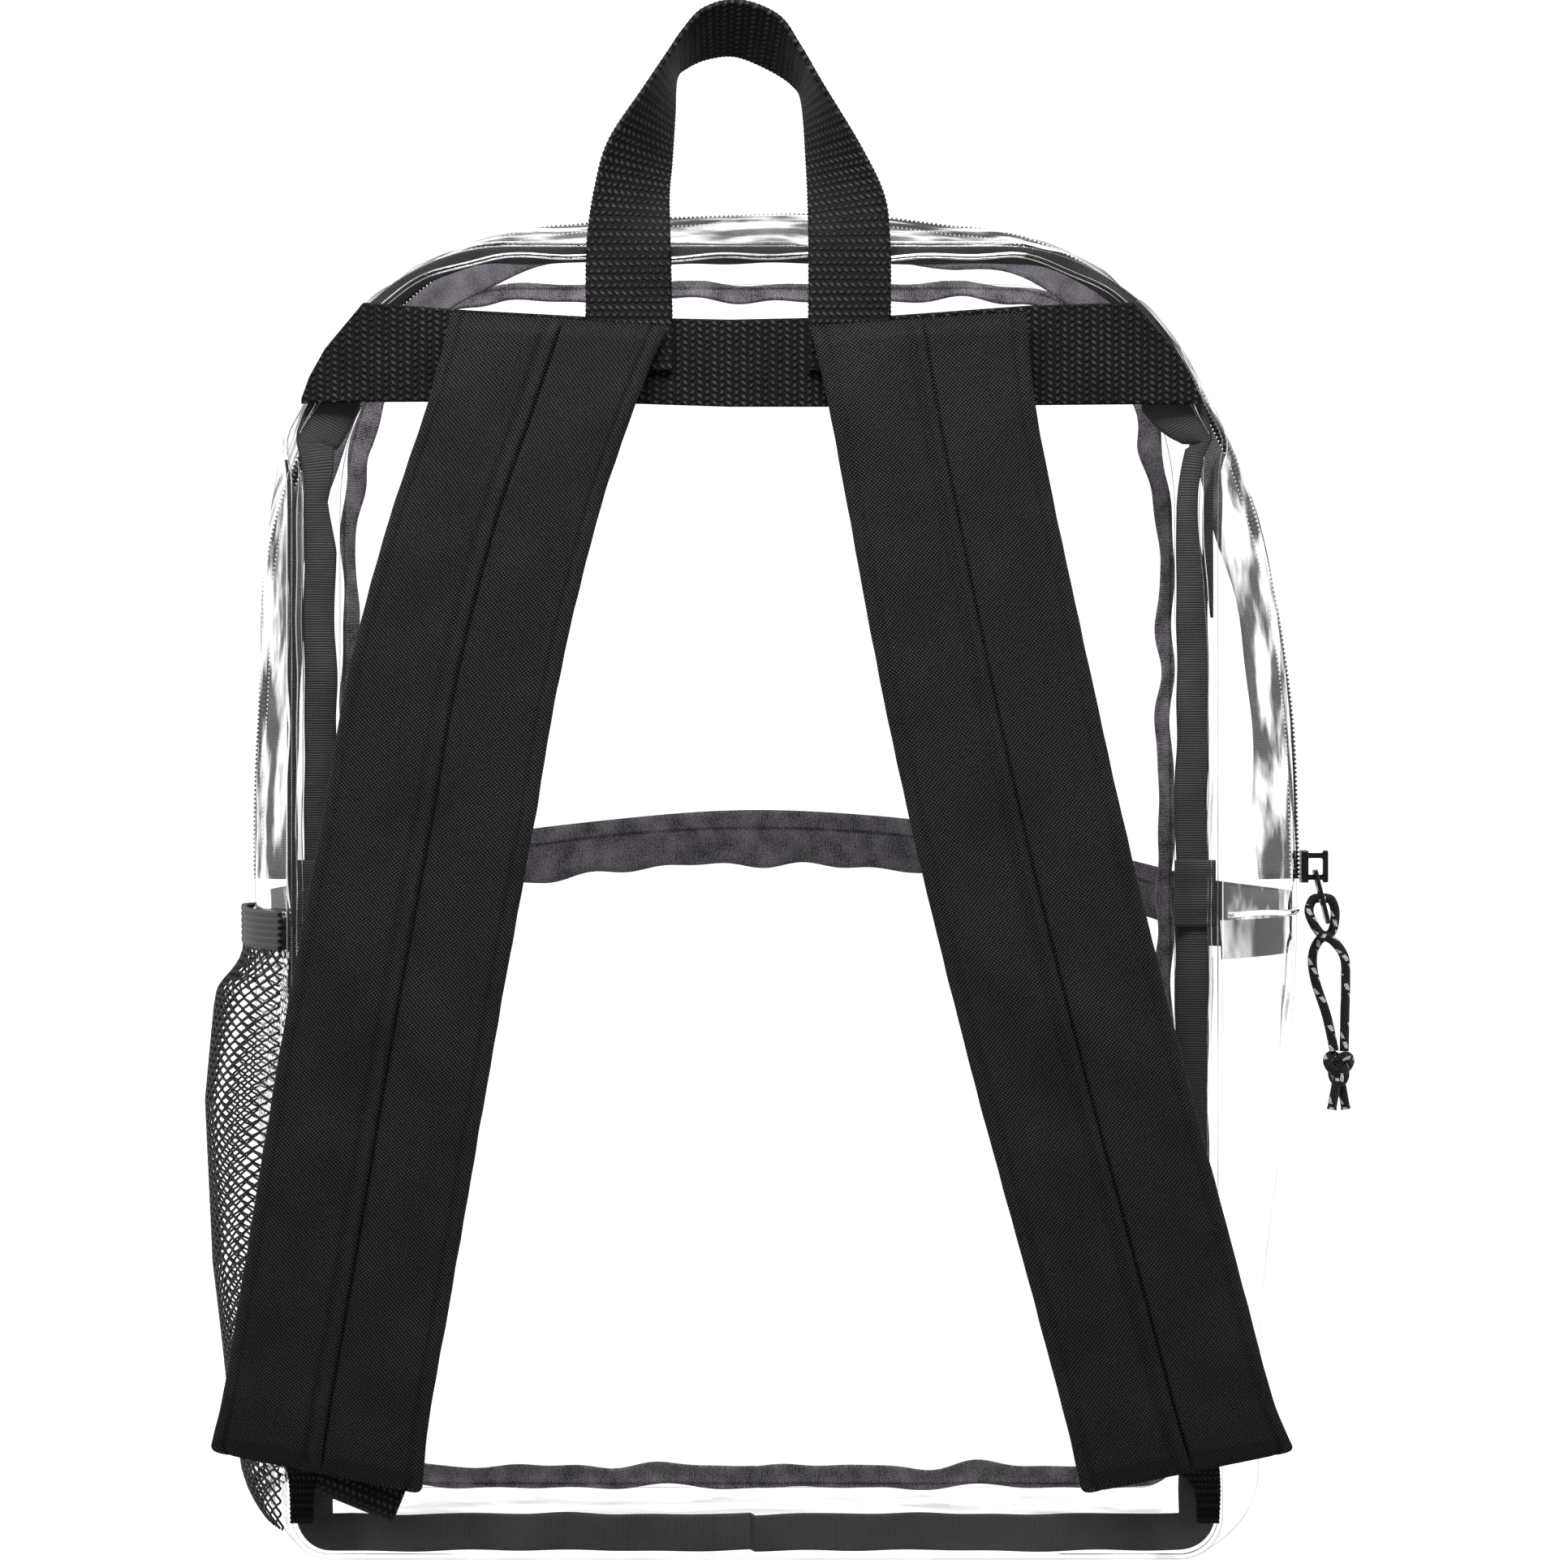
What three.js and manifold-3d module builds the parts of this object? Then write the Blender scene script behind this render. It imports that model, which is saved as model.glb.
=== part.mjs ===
// A clear vinyl day pack, standing upright on its base with its shoulder straps hanging down its back.
// Millimetres, +Z up. The origin is on the floor under the bag's middle. The worn side, with the straps, faces -Y,
// and +X is to the right of someone who looks at that side.
import * as THREE from "three";
import { mergeVertices } from "three/addons/utils/BufferGeometryUtils.js";
import Module from "manifold-3d";

const wasm = await Module();
wasm.setup();

// Sheets, tapes and clearances
const VINYL = 1.0; // clear sheet
const GAP = 0.3; // between neighbouring pieces
const BINDING = 1.8; // bound seam allowance, thickness
const BINDING_WIDTH = 11;
const BINDING_RUFFLE = 1.2; // how far its inner edge waves in and out
const WEBBING = 1.8;
const TAPE = 0.8; // zip tape

// The bag: a flat back panel, a domed front panel and a gusset that swells between them to the zip
const DEPTH = 140;
const BACK_HALF_WIDTH = 151;
const BACK_HEIGHT = 425;
const BACK_CORNER_WIDTH = 71;
const BACK_CORNER_HEIGHT = 81;
const BACK_PINCH = 3; // the seam's bump where the back band is sewn in
const BACK_PINCH_REACH = 9;
const FRONT_HALF_WIDTH = 149;
const FRONT_HEIGHT = 428;
const FRONT_CORNER_WIDTH = 62;
const FRONT_CORNER_HEIGHT = 82;
const FRONT_DOME = 9;
const FOOT_RADIUS = 14;
const RIDGE_Y = 10; // the zip's line, where the gusset is widest
const RIDGE_HALF_WIDTH_RIGHT = 170;
const RIDGE_HALF_WIDTH_LEFT = 165;
const RIDGE_BELLY_RIGHT = 14; // extra swell half-way up
const RIDGE_BELLY_LEFT = 5;
const RIDGE_BELLY_Z = 215;
const RIDGE_BELLY_REACH = 190;
const RIDGE_RISE = 15; // how far the zip's line lies above the front seam
const RIDGE_HEIGHT = FRONT_HEIGHT + RIDGE_RISE;
const RIDGE_CROWN = 4;
const RIDGE_CORNER_WIDTH = 102;
const RIDGE_CORNER_HEIGHT = 138;
const RIDGE_FOOT_RADIUS = 20;

// The cross seams, where the zipped upper gusset meets the lower one
const SEAM_Z = 206;
const SEAM_TAPE_WIDTH = 22;

// Main zip
const ZIP_TAPE_WIDTH = 30;
const ZIP_COIL_WIDTH = 5;
const ZIP_COIL_HEIGHT = 1.8;
const ZIP_SLOT = 8; // bare tape between the two vinyl edges
const SLIDER_Z = 222; // the middle of the slider, near the right end of the zip
const SLIDER_LENGTH = 11;
const SLIDER_WIDTH = 8;
const SLIDER_THICKNESS = 2.4;
const BRIDGE_REACH = 6; // how far the slider's bridge stands off
const BRIDGE_BAR = 1.8;
const PULL_LENGTH = 17.5;
const PULL_WIDTH = 6.4;
const PULL_THICKNESS = 1.4;
const PULL_RIM = 1.4;
const PULL_LEAN = 14; // degrees, away from the bag
const PULL_EYE_TOP = 6; // below its hanging edge
const PULL_EYE = 5; // the slot for the cord

// Front pocket
const POCKET_SEAM_MIDDLE_Z = 231; // its zip's line arches up from the sides to the middle
const POCKET_SEAM_SIDE_Z = 209;
const POCKET_DEPTH = 13;
const POCKET_TAPE_WIDTH = 21;
const POCKET_SLIDER_SHARE = 0.82; // of the way from the middle to the right side
const POCKET_PULL = 22;

// Net pocket on the left side
const NET = 1.0;
const NET_FOOT_Z = 14;
const NET_ROWS = 11;
const NET_COLUMNS = 8;
const NET_OPEN = 0.38; // half a gap's size as a share of its cell
const NET_BELLY = 16; // how far the net stands off the vinyl
const ELASTIC_FOOT_Z = 196;
const ELASTIC_HEIGHT = 13;
const ELASTIC = 1.2;
const MOUTH_GAPE = 8.4; // the elastic's greatest distance from the vinyl
const MOUTH_REACH = 16; // over this height the net draws in to it

// Harness
const HANDLE_SEAT = 42; // its feet lie this far below the back seam's top
const HANDLE_MIDDLE_X = -5.4;
const HANDLE_SPAN = 98.4; // over both legs
const HANDLE_RISE = 118.4;
const HANDLE_LEAN = 3;
const HANDLE_DEPTH = 22; // how much further forward its inner edge lies at the top
const PAD_WIDTH = 67;
const PAD_THICKNESS = 9.5;
const PAD_BOW = 16.5; // how far it stands off the bag
const PAD_SLANT = 14; // how much lower its inner edge is
const PAD_STATIONS = 18;
const BUCKLE_Z = 58;
const BUCKLE_WIDTH = 34;
const BUCKLE_HEIGHT = 24;
const BUCKLE_THICKNESS = 4;
const BUCKLE_SLOT = 4;
const ADJUSTER_WIDTH = 25;
const ADJUSTER_ANCHOR_X = 138;
const ADJUSTER_FOOT_Z = 12;
const ADJUSTER_RUN = 14; // sewn flat to the panel over this height
const ADJUSTER_LIFT = 8; // then it leaves the panel over this height
const ADJUSTER_BEND = 3;
const ROLL_X = -126;
const ROLL_Z = 24;
const ROLL_DROP = 22; // degrees
const ROLL_RADIUS = 6.4;
const ROLL_START_RADIUS = 2.3;
const ROLL_TURNS = 2.25;
const ROLL_STEPS = 24;
const ROLL_TAIL = 12;
const ROLL_WEBBING = 1.2;
const ROLL_LENGTH = 27;

// Cord of the zip pull. Drop is measured down from the tab's eye, the two sides away from the bag.
const CORD_DIAMETER = 3.2;
const CORD_STATIONS = 20;
const CORD_PATH = [
  { drop: 0, inward: -0.2, outward: 0.2, apart: 0 },
  { drop: 0, inward: -1.4, outward: 1.4, apart: 0 },
  { drop: 0.8, inward: -3.3, outward: 3.3, apart: 0 },
  { drop: 5, inward: -4.4, outward: 4.6, apart: 0.8 },
  { drop: 11.5, inward: -1.2, outward: 3.6, apart: 1.8 },
  { drop: 14.5, inward: 3.6, outward: -0.8, apart: 2.1 },
  { drop: 20, inward: 7.4, outward: -3.0, apart: 1.6 },
  { drop: 28, inward: 8.0, outward: -2.2, apart: 0.6 },
  { drop: 40, inward: 7.8, outward: 1.6, apart: 0 },
  { drop: 52, inward: 7.6, outward: 4.2, apart: 0 },
];
const KNOT_RADIUS = 5;
const KNOT_HEIGHT = 15;
const KNOT_TAIL = 5.5;

const BACK_Y = -DEPTH / 2;
const FRONT_Y = DEPTH / 2;
const UNDER_VINYL = VINYL + GAP; // depth of whatever lies against the sheet's inner face

const finish = (color, roughness, extra = {}) =>
  new THREE.MeshStandardMaterial({ color, roughness, metalness: 0, ...extra });
const MATERIALS = {
  vinyl: finish(0xeef2f4, 0.08, { transparent: true, opacity: 0.25 }),
  binding: finish(0x1c1a1d, 0.9),
  webbing: finish(0x151515, 0.85),
  padding: finish(0x1b1b1c, 0.9),
  zip: finish(0x1a191b, 0.6),
  hardware: finish(0x111111, 0.35),
  net: finish(0x161616, 0.8),
  elastic: finish(0x2a272b, 0.9),
  cord: finish(0x141414, 0.8),
};

const pack = new THREE.Group();

function place(name, geometry, material) {
  const mesh = new THREE.Mesh(geometry, MATERIALS[material]);
  mesh.name = name;
  pack.add(mesh);
  return mesh;
}

// A closed geometry from points and faces, turned to face outwards
function solid(points, faces) {
  const flat = new Float32Array(points.flatMap((p) => [p.x, p.y, p.z]));
  const volume = faces.reduce((sum, [a, b, c]) => {
    const normal = new THREE.Vector3().crossVectors(points[b], points[c]);
    return sum + points[a].dot(normal);
  }, 0);
  const outward = volume < 0 ? faces.map(([a, b, c]) => [a, c, b]) : faces;
  const geometry = new THREE.BufferGeometry();
  geometry.setAttribute("position", new THREE.BufferAttribute(flat, 3));
  geometry.setIndex(outward.flat());
  geometry.computeVertexNormals();
  return geometry;
}

// A wall between two grids of points, outer[i][j] and inner[i][j]. A ring's last row meets its first.
function wall(outer, inner, ring = false) {
  const rows = outer.length;
  const columns = outer[0].length;
  const points = [...outer.flat(), ...inner.flat()];
  const at = (i, j, side) => (side * rows + (i % rows)) * columns + j;
  const faces = [];
  const quad = (a, b, c, d) => faces.push([a, b, c], [a, c, d]);
  const lastRow = ring ? rows : rows - 1;
  for (let i = 0; i < lastRow; i++) {
    for (let j = 0; j < columns - 1; j++) {
      quad(at(i, j, 0), at(i + 1, j, 0), at(i + 1, j + 1, 0), at(i, j + 1, 0));
      quad(at(i, j, 1), at(i, j + 1, 1), at(i + 1, j + 1, 1), at(i + 1, j, 1));
    }
    quad(at(i, 0, 0), at(i, 0, 1), at(i + 1, 0, 1), at(i + 1, 0, 0));
    const j = columns - 1;
    quad(at(i, j, 0), at(i + 1, j, 0), at(i + 1, j, 1), at(i, j, 1));
  }
  if (!ring) {
    for (let j = 0; j < columns - 1; j++) {
      quad(at(0, j, 0), at(0, j + 1, 0), at(0, j + 1, 1), at(0, j, 1));
      const i = rows - 1;
      quad(at(i, j, 0), at(i, j, 1), at(i, j + 1, 1), at(i, j + 1, 0));
    }
  }
  return solid(points, faces);
}

// A solid through closed sections of equal point counts
function loft(sections) {
  const count = sections[0].length;
  const points = sections.flat();
  const faces = [];
  for (let s = 0; s < sections.length - 1; s++) {
    for (let k = 0; k < count; k++) {
      const a = s * count + k;
      const b = s * count + ((k + 1) % count);
      faces.push([a, b, b + count], [a, b + count, a + count]);
    }
  }
  const last = points.length - count;
  for (let k = 1; k < count - 1; k++) {
    faces.push([0, k + 1, k], [last, last + k, last + k + 1]);
  }
  return solid(points, faces);
}

// A flat strip between two edge curves, given as equal lists of points
function ribbon(leftEdge, rightEdge, thickness) {
  const sections = leftEdge.map((left, i) => {
    const before = Math.max(i - 1, 0);
    const after = Math.min(i + 1, leftEdge.length - 1);
    const along = new THREE.Vector3()
      .add(leftEdge[after])
      .add(rightEdge[after])
      .sub(leftEdge[before])
      .sub(rightEdge[before]);
    const across = new THREE.Vector3().subVectors(rightEdge[i], left);
    const half = new THREE.Vector3()
      .crossVectors(along, across)
      .setLength(thickness / 2);
    const right = rightEdge[i];
    return [
      left.clone().add(half),
      right.clone().add(half),
      right.clone().sub(half),
      left.clone().sub(half),
    ];
  });
  return loft(sections);
}

// A plate in the XZ plane, cut from a flat shape, between two depths
function plate(shape, nearY, farY) {
  const geometry = new THREE.ExtrudeGeometry(shape, {
    depth: farY - nearY,
    bevelEnabled: false,
    curveSegments: 8,
  });
  geometry.rotateX(Math.PI / 2); // the shape's y becomes z, and its depth runs along -Y
  geometry.translate(0, farY, 0);
  return geometry;
}

function manifold(geometry) {
  const bare = geometry.clone();
  bare.deleteAttribute("normal");
  bare.deleteAttribute("uv");
  const merged = mergeVertices(bare, 1e-4);
  return new wasm.Manifold(
    new wasm.Mesh({
      numProp: 3,
      vertProperties: merged.attributes.position.array,
      triVerts: new Uint32Array(merged.index.array),
    }),
  );
}

function fromManifold(made) {
  const { vertProperties, triVerts } = made.getMesh();
  const geometry = new THREE.BufferGeometry();
  const positions = new THREE.BufferAttribute(vertProperties, 3);
  geometry.setAttribute("position", positions);
  geometry.setIndex(new THREE.BufferAttribute(triVerts, 1));
  geometry.computeVertexNormals();
  return geometry;
}

const join = (...parts) =>
  fromManifold(parts.map(manifold).reduce((sum, part) => sum.add(part)));
const box = (sx, sy, sz, x, y, z) =>
  new THREE.BoxGeometry(sx, sy, sz).translate(x, y, z);
const steps = (count) =>
  Array.from({ length: count + 1 }, (_, k) => k / count);
const mix = (a, b, t) => a + (b - a) * t;

// Rows of shares, turned into lengths by the named sizes that they follow
function scaled(rows, sizes) {
  return rows.map((row) => {
    const lengths = Object.entries(row).map(([key, share]) => [key, share * sizes[key]]);
    return Object.fromEntries(lengths);
  });
}

// Value of a table's column at a share, smooth between its rows
function column(rows, key, name, share) {
  const last = rows.length - 2;
  const i = Math.min(
    last,
    Math.max(0, rows.findIndex((row) => row[key] >= share) - 1),
  );
  const [a, b] = [rows[i], rows[i + 1]];
  const t = THREE.MathUtils.clamp((share - a[key]) / (b[key] - a[key]), 0, 1);
  return mix(a[name], b[name], t * t * (3 - 2 * t));
}

// Seam and ridge lines round the bag

// Steps along half a line, from the middle of the base to the middle of the top
const BASE_STEPS = 3;
const FOOT_STEPS = 4;
const LOWER_STEPS = 4;
const UPPER_STEPS = 3;
const CORNER_STEPS = 6;
const TOP_STEPS = 3;
const SEAM_LEVELS = [
  SEAM_Z - SEAM_TAPE_WIDTH / 2,
  SEAM_Z - GAP / 2,
  SEAM_Z + GAP / 2,
  SEAM_Z + SEAM_TAPE_WIDTH / 2,
];

function halfLine(half, belly, line) {
  const { height, crown = 0, cornerWidth, cornerHeight, foot } = line;
  const { pinch = 0 } = line;
  const cornerZ = height - crown - cornerHeight;
  const topX = half - cornerWidth;
  const swell = (z) => {
    const reach = Math.min(
      1,
      Math.abs(z - RIDGE_BELLY_Z) / RIDGE_BELLY_REACH,
    );
    const bump = (z - cornerZ - 2 * BACK_PINCH_REACH) / BACK_PINCH_REACH;
    return (
      belly * Math.cos((reach * Math.PI) / 2) ** 2 + pinch * Math.exp(-bump * bump)
    );
  };
  const points = [];
  for (const t of steps(BASE_STEPS)) points.push([(half - foot) * t, 0]);
  for (const t of steps(FOOT_STEPS).slice(1)) {
    const angle = (t * Math.PI) / 2;
    points.push([
      half - foot + foot * Math.sin(angle),
      foot - foot * Math.cos(angle),
    ]);
  }
  const levels = [
    ...steps(LOWER_STEPS)
      .slice(1, -1)
      .map((t) => mix(foot, SEAM_LEVELS[0], t)),
    ...SEAM_LEVELS,
    ...steps(UPPER_STEPS)
      .slice(1)
      .map((t) => mix(SEAM_LEVELS[3], cornerZ, t)),
  ];
  for (const z of levels) points.push([half + swell(z), z]);
  for (const t of steps(CORNER_STEPS).slice(1)) {
    const angle = (t * Math.PI) / 2;
    const z = cornerZ + cornerHeight * Math.sin(angle);
    points.push([topX + cornerWidth * Math.cos(angle) + swell(z), z]);
  }
  for (const t of steps(TOP_STEPS).slice(1)) {
    const x = topX * (1 - t);
    points.push([x, height - crown * (x / topX) ** 2]);
  }
  return points.map(([x, z]) => new THREE.Vector2(x, z));
}

// The whole line: up the right side and down the left one, from the base's middle to its middle
function ringLine(line) {
  const right = halfLine(line.right, line.bellyRight ?? 0, line);
  const left = halfLine(line.left, line.bellyLeft ?? 0, line);
  const mirrored = left.reverse().map((p) => new THREE.Vector2(-p.x, p.y));
  return [...right, ...mirrored.slice(1, -1)];
}

const backLine = ringLine({
  right: BACK_HALF_WIDTH,
  left: BACK_HALF_WIDTH,
  height: BACK_HEIGHT,
  cornerWidth: BACK_CORNER_WIDTH,
  cornerHeight: BACK_CORNER_HEIGHT,
  foot: FOOT_RADIUS,
  pinch: BACK_PINCH,
});
const ridgeLine = ringLine({
  right: RIDGE_HALF_WIDTH_RIGHT,
  left: RIDGE_HALF_WIDTH_LEFT,
  bellyRight: RIDGE_BELLY_RIGHT,
  bellyLeft: RIDGE_BELLY_LEFT,
  height: RIDGE_HEIGHT,
  crown: RIDGE_CROWN,
  cornerWidth: RIDGE_CORNER_WIDTH,
  cornerHeight: RIDGE_CORNER_HEIGHT,
  foot: RIDGE_FOOT_RADIUS,
});
const frontLine = ringLine({
  right: FRONT_HALF_WIDTH,
  left: FRONT_HALF_WIDTH,
  height: FRONT_HEIGHT,
  cornerWidth: FRONT_CORNER_WIDTH,
  cornerHeight: FRONT_CORNER_HEIGHT,
  foot: FOOT_RADIUS,
});

// Places along a line, counted in points from the middle of the base
const RING = backLine.length;
const HALF = RING / 2;
const SEAM_TAPE_FOOT = BASE_STEPS + FOOT_STEPS + LOWER_STEPS;
const LOWER_EDGE = SEAM_TAPE_FOOT + 1;
const UPPER_EDGE = SEAM_TAPE_FOOT + 2;
const SEAM_TAPE_HEAD = SEAM_TAPE_FOOT + 3;
const range = (from, to) =>
  Array.from({ length: to - from + 1 }, (_, k) => from + k);
const mirroredPlace = (place) => RING - place;

// The gusset's outer skin

function skin(place, y) {
  const i = ((place % RING) + RING) % RING;
  const share = (y - BACK_Y) / DEPTH;
  const ridgeShare = (RIDGE_Y - BACK_Y) / DEPTH;
  const seam = backLine[i].clone().lerp(frontLine[i], share);
  const ridgeSeam = backLine[i].clone().lerp(frontLine[i], ridgeShare);
  const away =
    y < RIDGE_Y
      ? (RIDGE_Y - y) / (RIDGE_Y - BACK_Y)
      : (y - RIDGE_Y) / (FRONT_Y - RIDGE_Y);
  const swell = 1 - away * away;
  seam.add(ridgeLine[i].clone().sub(ridgeSeam).multiplyScalar(swell));
  return new THREE.Vector3(seam.x, y, seam.y);
}

// A point of the skin moved out by a distance, or in by a negative one
function offSkin(place, y, distance) {
  const point = skin(place, y);
  const along = skin(place + 1, y).sub(skin(place - 1, y));
  const through = skin(place, y + 1).sub(skin(place, y - 1));
  const normal = through.cross(along).normalize();
  return point.addScaledVector(normal, distance);
}

// A wall that follows the skin from depth outside to depth inside
function skinWall(places, ys, outside, inside, ring = false) {
  const grid = (depth) => places.map((i) => ys.map((y) => offSkin(i, y, depth)));
  return wall(grid(outside), grid(inside), ring);
}

const SEAM_EDGE = DEPTH / 2 - VINYL - GAP; // the gusset's edges stop short of the panels
const CROSS_EDGE = SEAM_EDGE - BINDING - GAP; // where the cross seams' bindings end
const TAPE_BACK_Y = RIDGE_Y - ZIP_TAPE_WIDTH / 2;
const TAPE_FRONT_Y = RIDGE_Y + ZIP_TAPE_WIDTH / 2;
const SLOT_BACK_Y = RIDGE_Y - ZIP_SLOT / 2;
const SLOT_FRONT_Y = RIDGE_Y + ZIP_SLOT / 2;
const between = (from, to, count) =>
  steps(count).map((t) => mix(from, to, t));
// Every strip of the gusset bends at the same depths, so that they lie flat on each other
const BACK_BENDS = [...between(-CROSS_EDGE, TAPE_BACK_Y, 3), SLOT_BACK_Y];
const FRONT_BENDS = [SLOT_FRONT_Y, ...between(TAPE_FRONT_Y, CROSS_EDGE, 2)];
const BACK_STRIP = [-SEAM_EDGE, ...BACK_BENDS];
const FRONT_STRIP = [...FRONT_BENDS, SEAM_EDGE];
const UPPER_PLACES = range(UPPER_EDGE, mirroredPlace(UPPER_EDGE));
const LOWER_PLACES = range(mirroredPlace(LOWER_EDGE), RING + LOWER_EDGE);

// Panels

function outlineShape(line) {
  return new THREE.Shape(line.map((p) => p.clone()));
}

// Half the front panel's width at a height
function frontHalfWidth(z) {
  const cornerZ = FRONT_HEIGHT - FRONT_CORNER_HEIGHT;
  if (z < FOOT_RADIUS) {
    const rise = FOOT_RADIUS - z;
    const inset = FOOT_RADIUS - Math.sqrt(FOOT_RADIUS ** 2 - rise ** 2);
    return FRONT_HALF_WIDTH - inset;
  }
  if (z <= cornerZ) return FRONT_HALF_WIDTH;
  const share = Math.min(1, (z - cornerZ) / FRONT_CORNER_HEIGHT);
  const corner = FRONT_CORNER_WIDTH * Math.sqrt(1 - share * share);
  return FRONT_HALF_WIDTH - FRONT_CORNER_WIDTH + corner;
}

// The front panel's outer face at a share across and a height, moved forward by a distance
function frontFace(across, z, forward = 0) {
  const side = 1 - across * across;
  const up = Math.sin((Math.PI * Math.min(1, Math.max(0, z / FRONT_HEIGHT))) ** 1);
  const y = FRONT_Y + FRONT_DOME * side * up + forward;
  return new THREE.Vector3(across * frontHalfWidth(z), y, z);
}

const ACROSS = between(-1, 1, 10);
const pocketSeamZ = (across) =>
  mix(POCKET_SEAM_MIDDLE_Z, POCKET_SEAM_SIDE_Z, across * across);

function frontWall(heightsAt, near, far) {
  const grid = (forward) =>
    ACROSS.map((u) => heightsAt(u).map((z) => frontFace(u, z, forward(u, z))));
  return wall(grid(far), grid(near));
}

// How far the pocket stands off the front panel at a share across and a share up
function pocketSwell(across, up) {
  const side = Math.max(0, 1 - across ** 4);
  return POCKET_DEPTH * side * Math.sin(Math.PI * Math.min(1, up * 0.9 + 0.1));
}

function buildPanels() {
  const back = plate(outlineShape(backLine), BACK_Y, BACK_Y + VINYL);
  place("back_panel", back, "vinyl");

  const backStrip = skinWall(UPPER_PLACES, BACK_STRIP, 0, -VINYL);
  place("gusset_back", backStrip, "vinyl");
  const frontStrip = skinWall(UPPER_PLACES, FRONT_STRIP, 0, -VINYL);
  place("gusset_front", frontStrip, "vinyl");
  const lower = skinWall(LOWER_PLACES, [...BACK_STRIP, ...FRONT_STRIP], 0, -VINYL);
  place("gusset_lower", lower, "vinyl");

  const cornerZ = FRONT_HEIGHT - FRONT_CORNER_HEIGHT;
  const heights = [
    ...between(0, FOOT_RADIUS, 3),
    ...between(FOOT_RADIUS, cornerZ, 5).slice(1),
    ...steps(5)
      .slice(1)
      .map((t) => cornerZ + FRONT_CORNER_HEIGHT * Math.sin((t * Math.PI) / 2)),
  ];
  const front = frontWall(
    () => heights,
    () => -VINYL,
    () => 0,
  );
  place("front_panel", front, "vinyl");
}

function buildFrontPocket() {
  const halfTape = POCKET_TAPE_WIDTH / 2;
  const halfCoil = ZIP_COIL_WIDTH / 2;
  const strip = (low, high) => (u) => [
    pocketSeamZ(u) + low,
    pocketSeamZ(u) + high,
  ];
  const tape = frontWall(
    strip(-halfTape, halfTape),
    () => GAP,
    () => GAP + TAPE,
  );
  place("pocket_zip_tape", tape, "zip");
  const coilNear = TAPE + 2 * GAP;
  const coil = frontWall(
    strip(-halfCoil, halfCoil),
    () => coilNear,
    () => coilNear + ZIP_COIL_HEIGHT,
  );
  place("pocket_zip_coil", coil, "zip");

  const topOf = (u) => pocketSeamZ(u) - halfCoil - GAP;
  const heightsAt = (u) => between(1, topOf(u), 8);
  const standOff = (u, z) =>
    coilNear + pocketSwell(u, Math.max(0, z / topOf(u)));
  const panel = frontWall(heightsAt, standOff, (u, z) => standOff(u, z) + VINYL);
  place("pocket_panel", panel, "vinyl");

  const u = POCKET_SLIDER_SHARE;
  const seat = coilNear + ZIP_COIL_HEIGHT + GAP;
  const at = frontFace(u, pocketSeamZ(u), seat + SLIDER_THICKNESS / 2);
  const body = box(SLIDER_LENGTH, SLIDER_THICKNESS, SLIDER_WIDTH, 0, 0, 0);
  const tab = box(POCKET_PULL, PULL_THICKNESS, PULL_WIDTH, -POCKET_PULL / 2, 1.6, 0);
  const slider = join(body, tab);
  const slope = (2 * (POCKET_SEAM_MIDDLE_Z - POCKET_SEAM_SIDE_Z) * u) / FRONT_HALF_WIDTH;
  slider.rotateZ(-Math.atan((2 * FRONT_DOME * u) / FRONT_HALF_WIDTH));
  slider.rotateY(Math.atan(slope));
  slider.translate(at.x, at.y, at.z);
  place("pocket_slider", slider, "hardware");
}

// Bound seam allowances, which lie flat inside the bag

// A point of a line moved into the bag by a distance
function insetPoint(line, i, distance) {
  const before = line[(i + line.length - 1) % line.length];
  const after = line[(i + 1) % line.length];
  const along = after.clone().sub(before).normalize();
  return line[i].clone().add(
    new THREE.Vector2(-along.y, along.x).multiplyScalar(distance),
  );
}

function buildBindings() {
  const ruffle = (i) => BINDING_RUFFLE * Math.sin(i * 1.9) * Math.cos(i * 0.7);
  const ring = (line, outerY, innerY) => {
    const grid = (y) =>
      line.map((_, i) =>
        [UNDER_VINYL, UNDER_VINYL + BINDING_WIDTH + ruffle(i)].map((d) => {
          const p = insetPoint(line, i, d);
          return new THREE.Vector3(p.x, y, p.y);
        }),
      );
    return wall(grid(outerY), grid(innerY), true);
  };
  const near = BACK_Y + UNDER_VINYL;
  const back = ring(backLine, near, near + BINDING);
  place("binding_back", back, "binding");
  const far = FRONT_Y - UNDER_VINYL;
  place("binding_front", ring(frontLine, far, far - BINDING), "binding");

  const ys = [...BACK_BENDS, ...FRONT_BENDS];
  for (const [name, from, to] of [
    ["binding_right", SEAM_TAPE_FOOT, SEAM_TAPE_HEAD],
    ["binding_left", mirroredPlace(SEAM_TAPE_HEAD), mirroredPlace(SEAM_TAPE_FOOT)],
  ]) {
    const inside = -UNDER_VINYL - BINDING;
    const strip = skinWall(range(from, to), ys, -UNDER_VINYL, inside);
    place(name, strip, "binding");
  }
}

// Main zip: a tape under the vinyl edges, a coil in the slot between them, and the slider at its right end

function buildZip() {
  const past = SEAM_TAPE_HEAD + 1;
  const places = range(past, mirroredPlace(past));
  const tapeYs = [TAPE_BACK_Y, SLOT_BACK_Y, SLOT_FRONT_Y, TAPE_FRONT_Y];
  const tape = skinWall(places, tapeYs, -UNDER_VINYL, -UNDER_VINYL - TAPE);
  place("zip_tape", tape, "zip");
  const half = ZIP_COIL_WIDTH / 2;
  const seat = -UNDER_VINYL + GAP;
  const coilYs = [RIDGE_Y - half, RIDGE_Y + half];
  const coil = skinWall(places, coilYs, seat + ZIP_COIL_HEIGHT, seat);
  place("zip_coil", coil, "zip");
}

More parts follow.
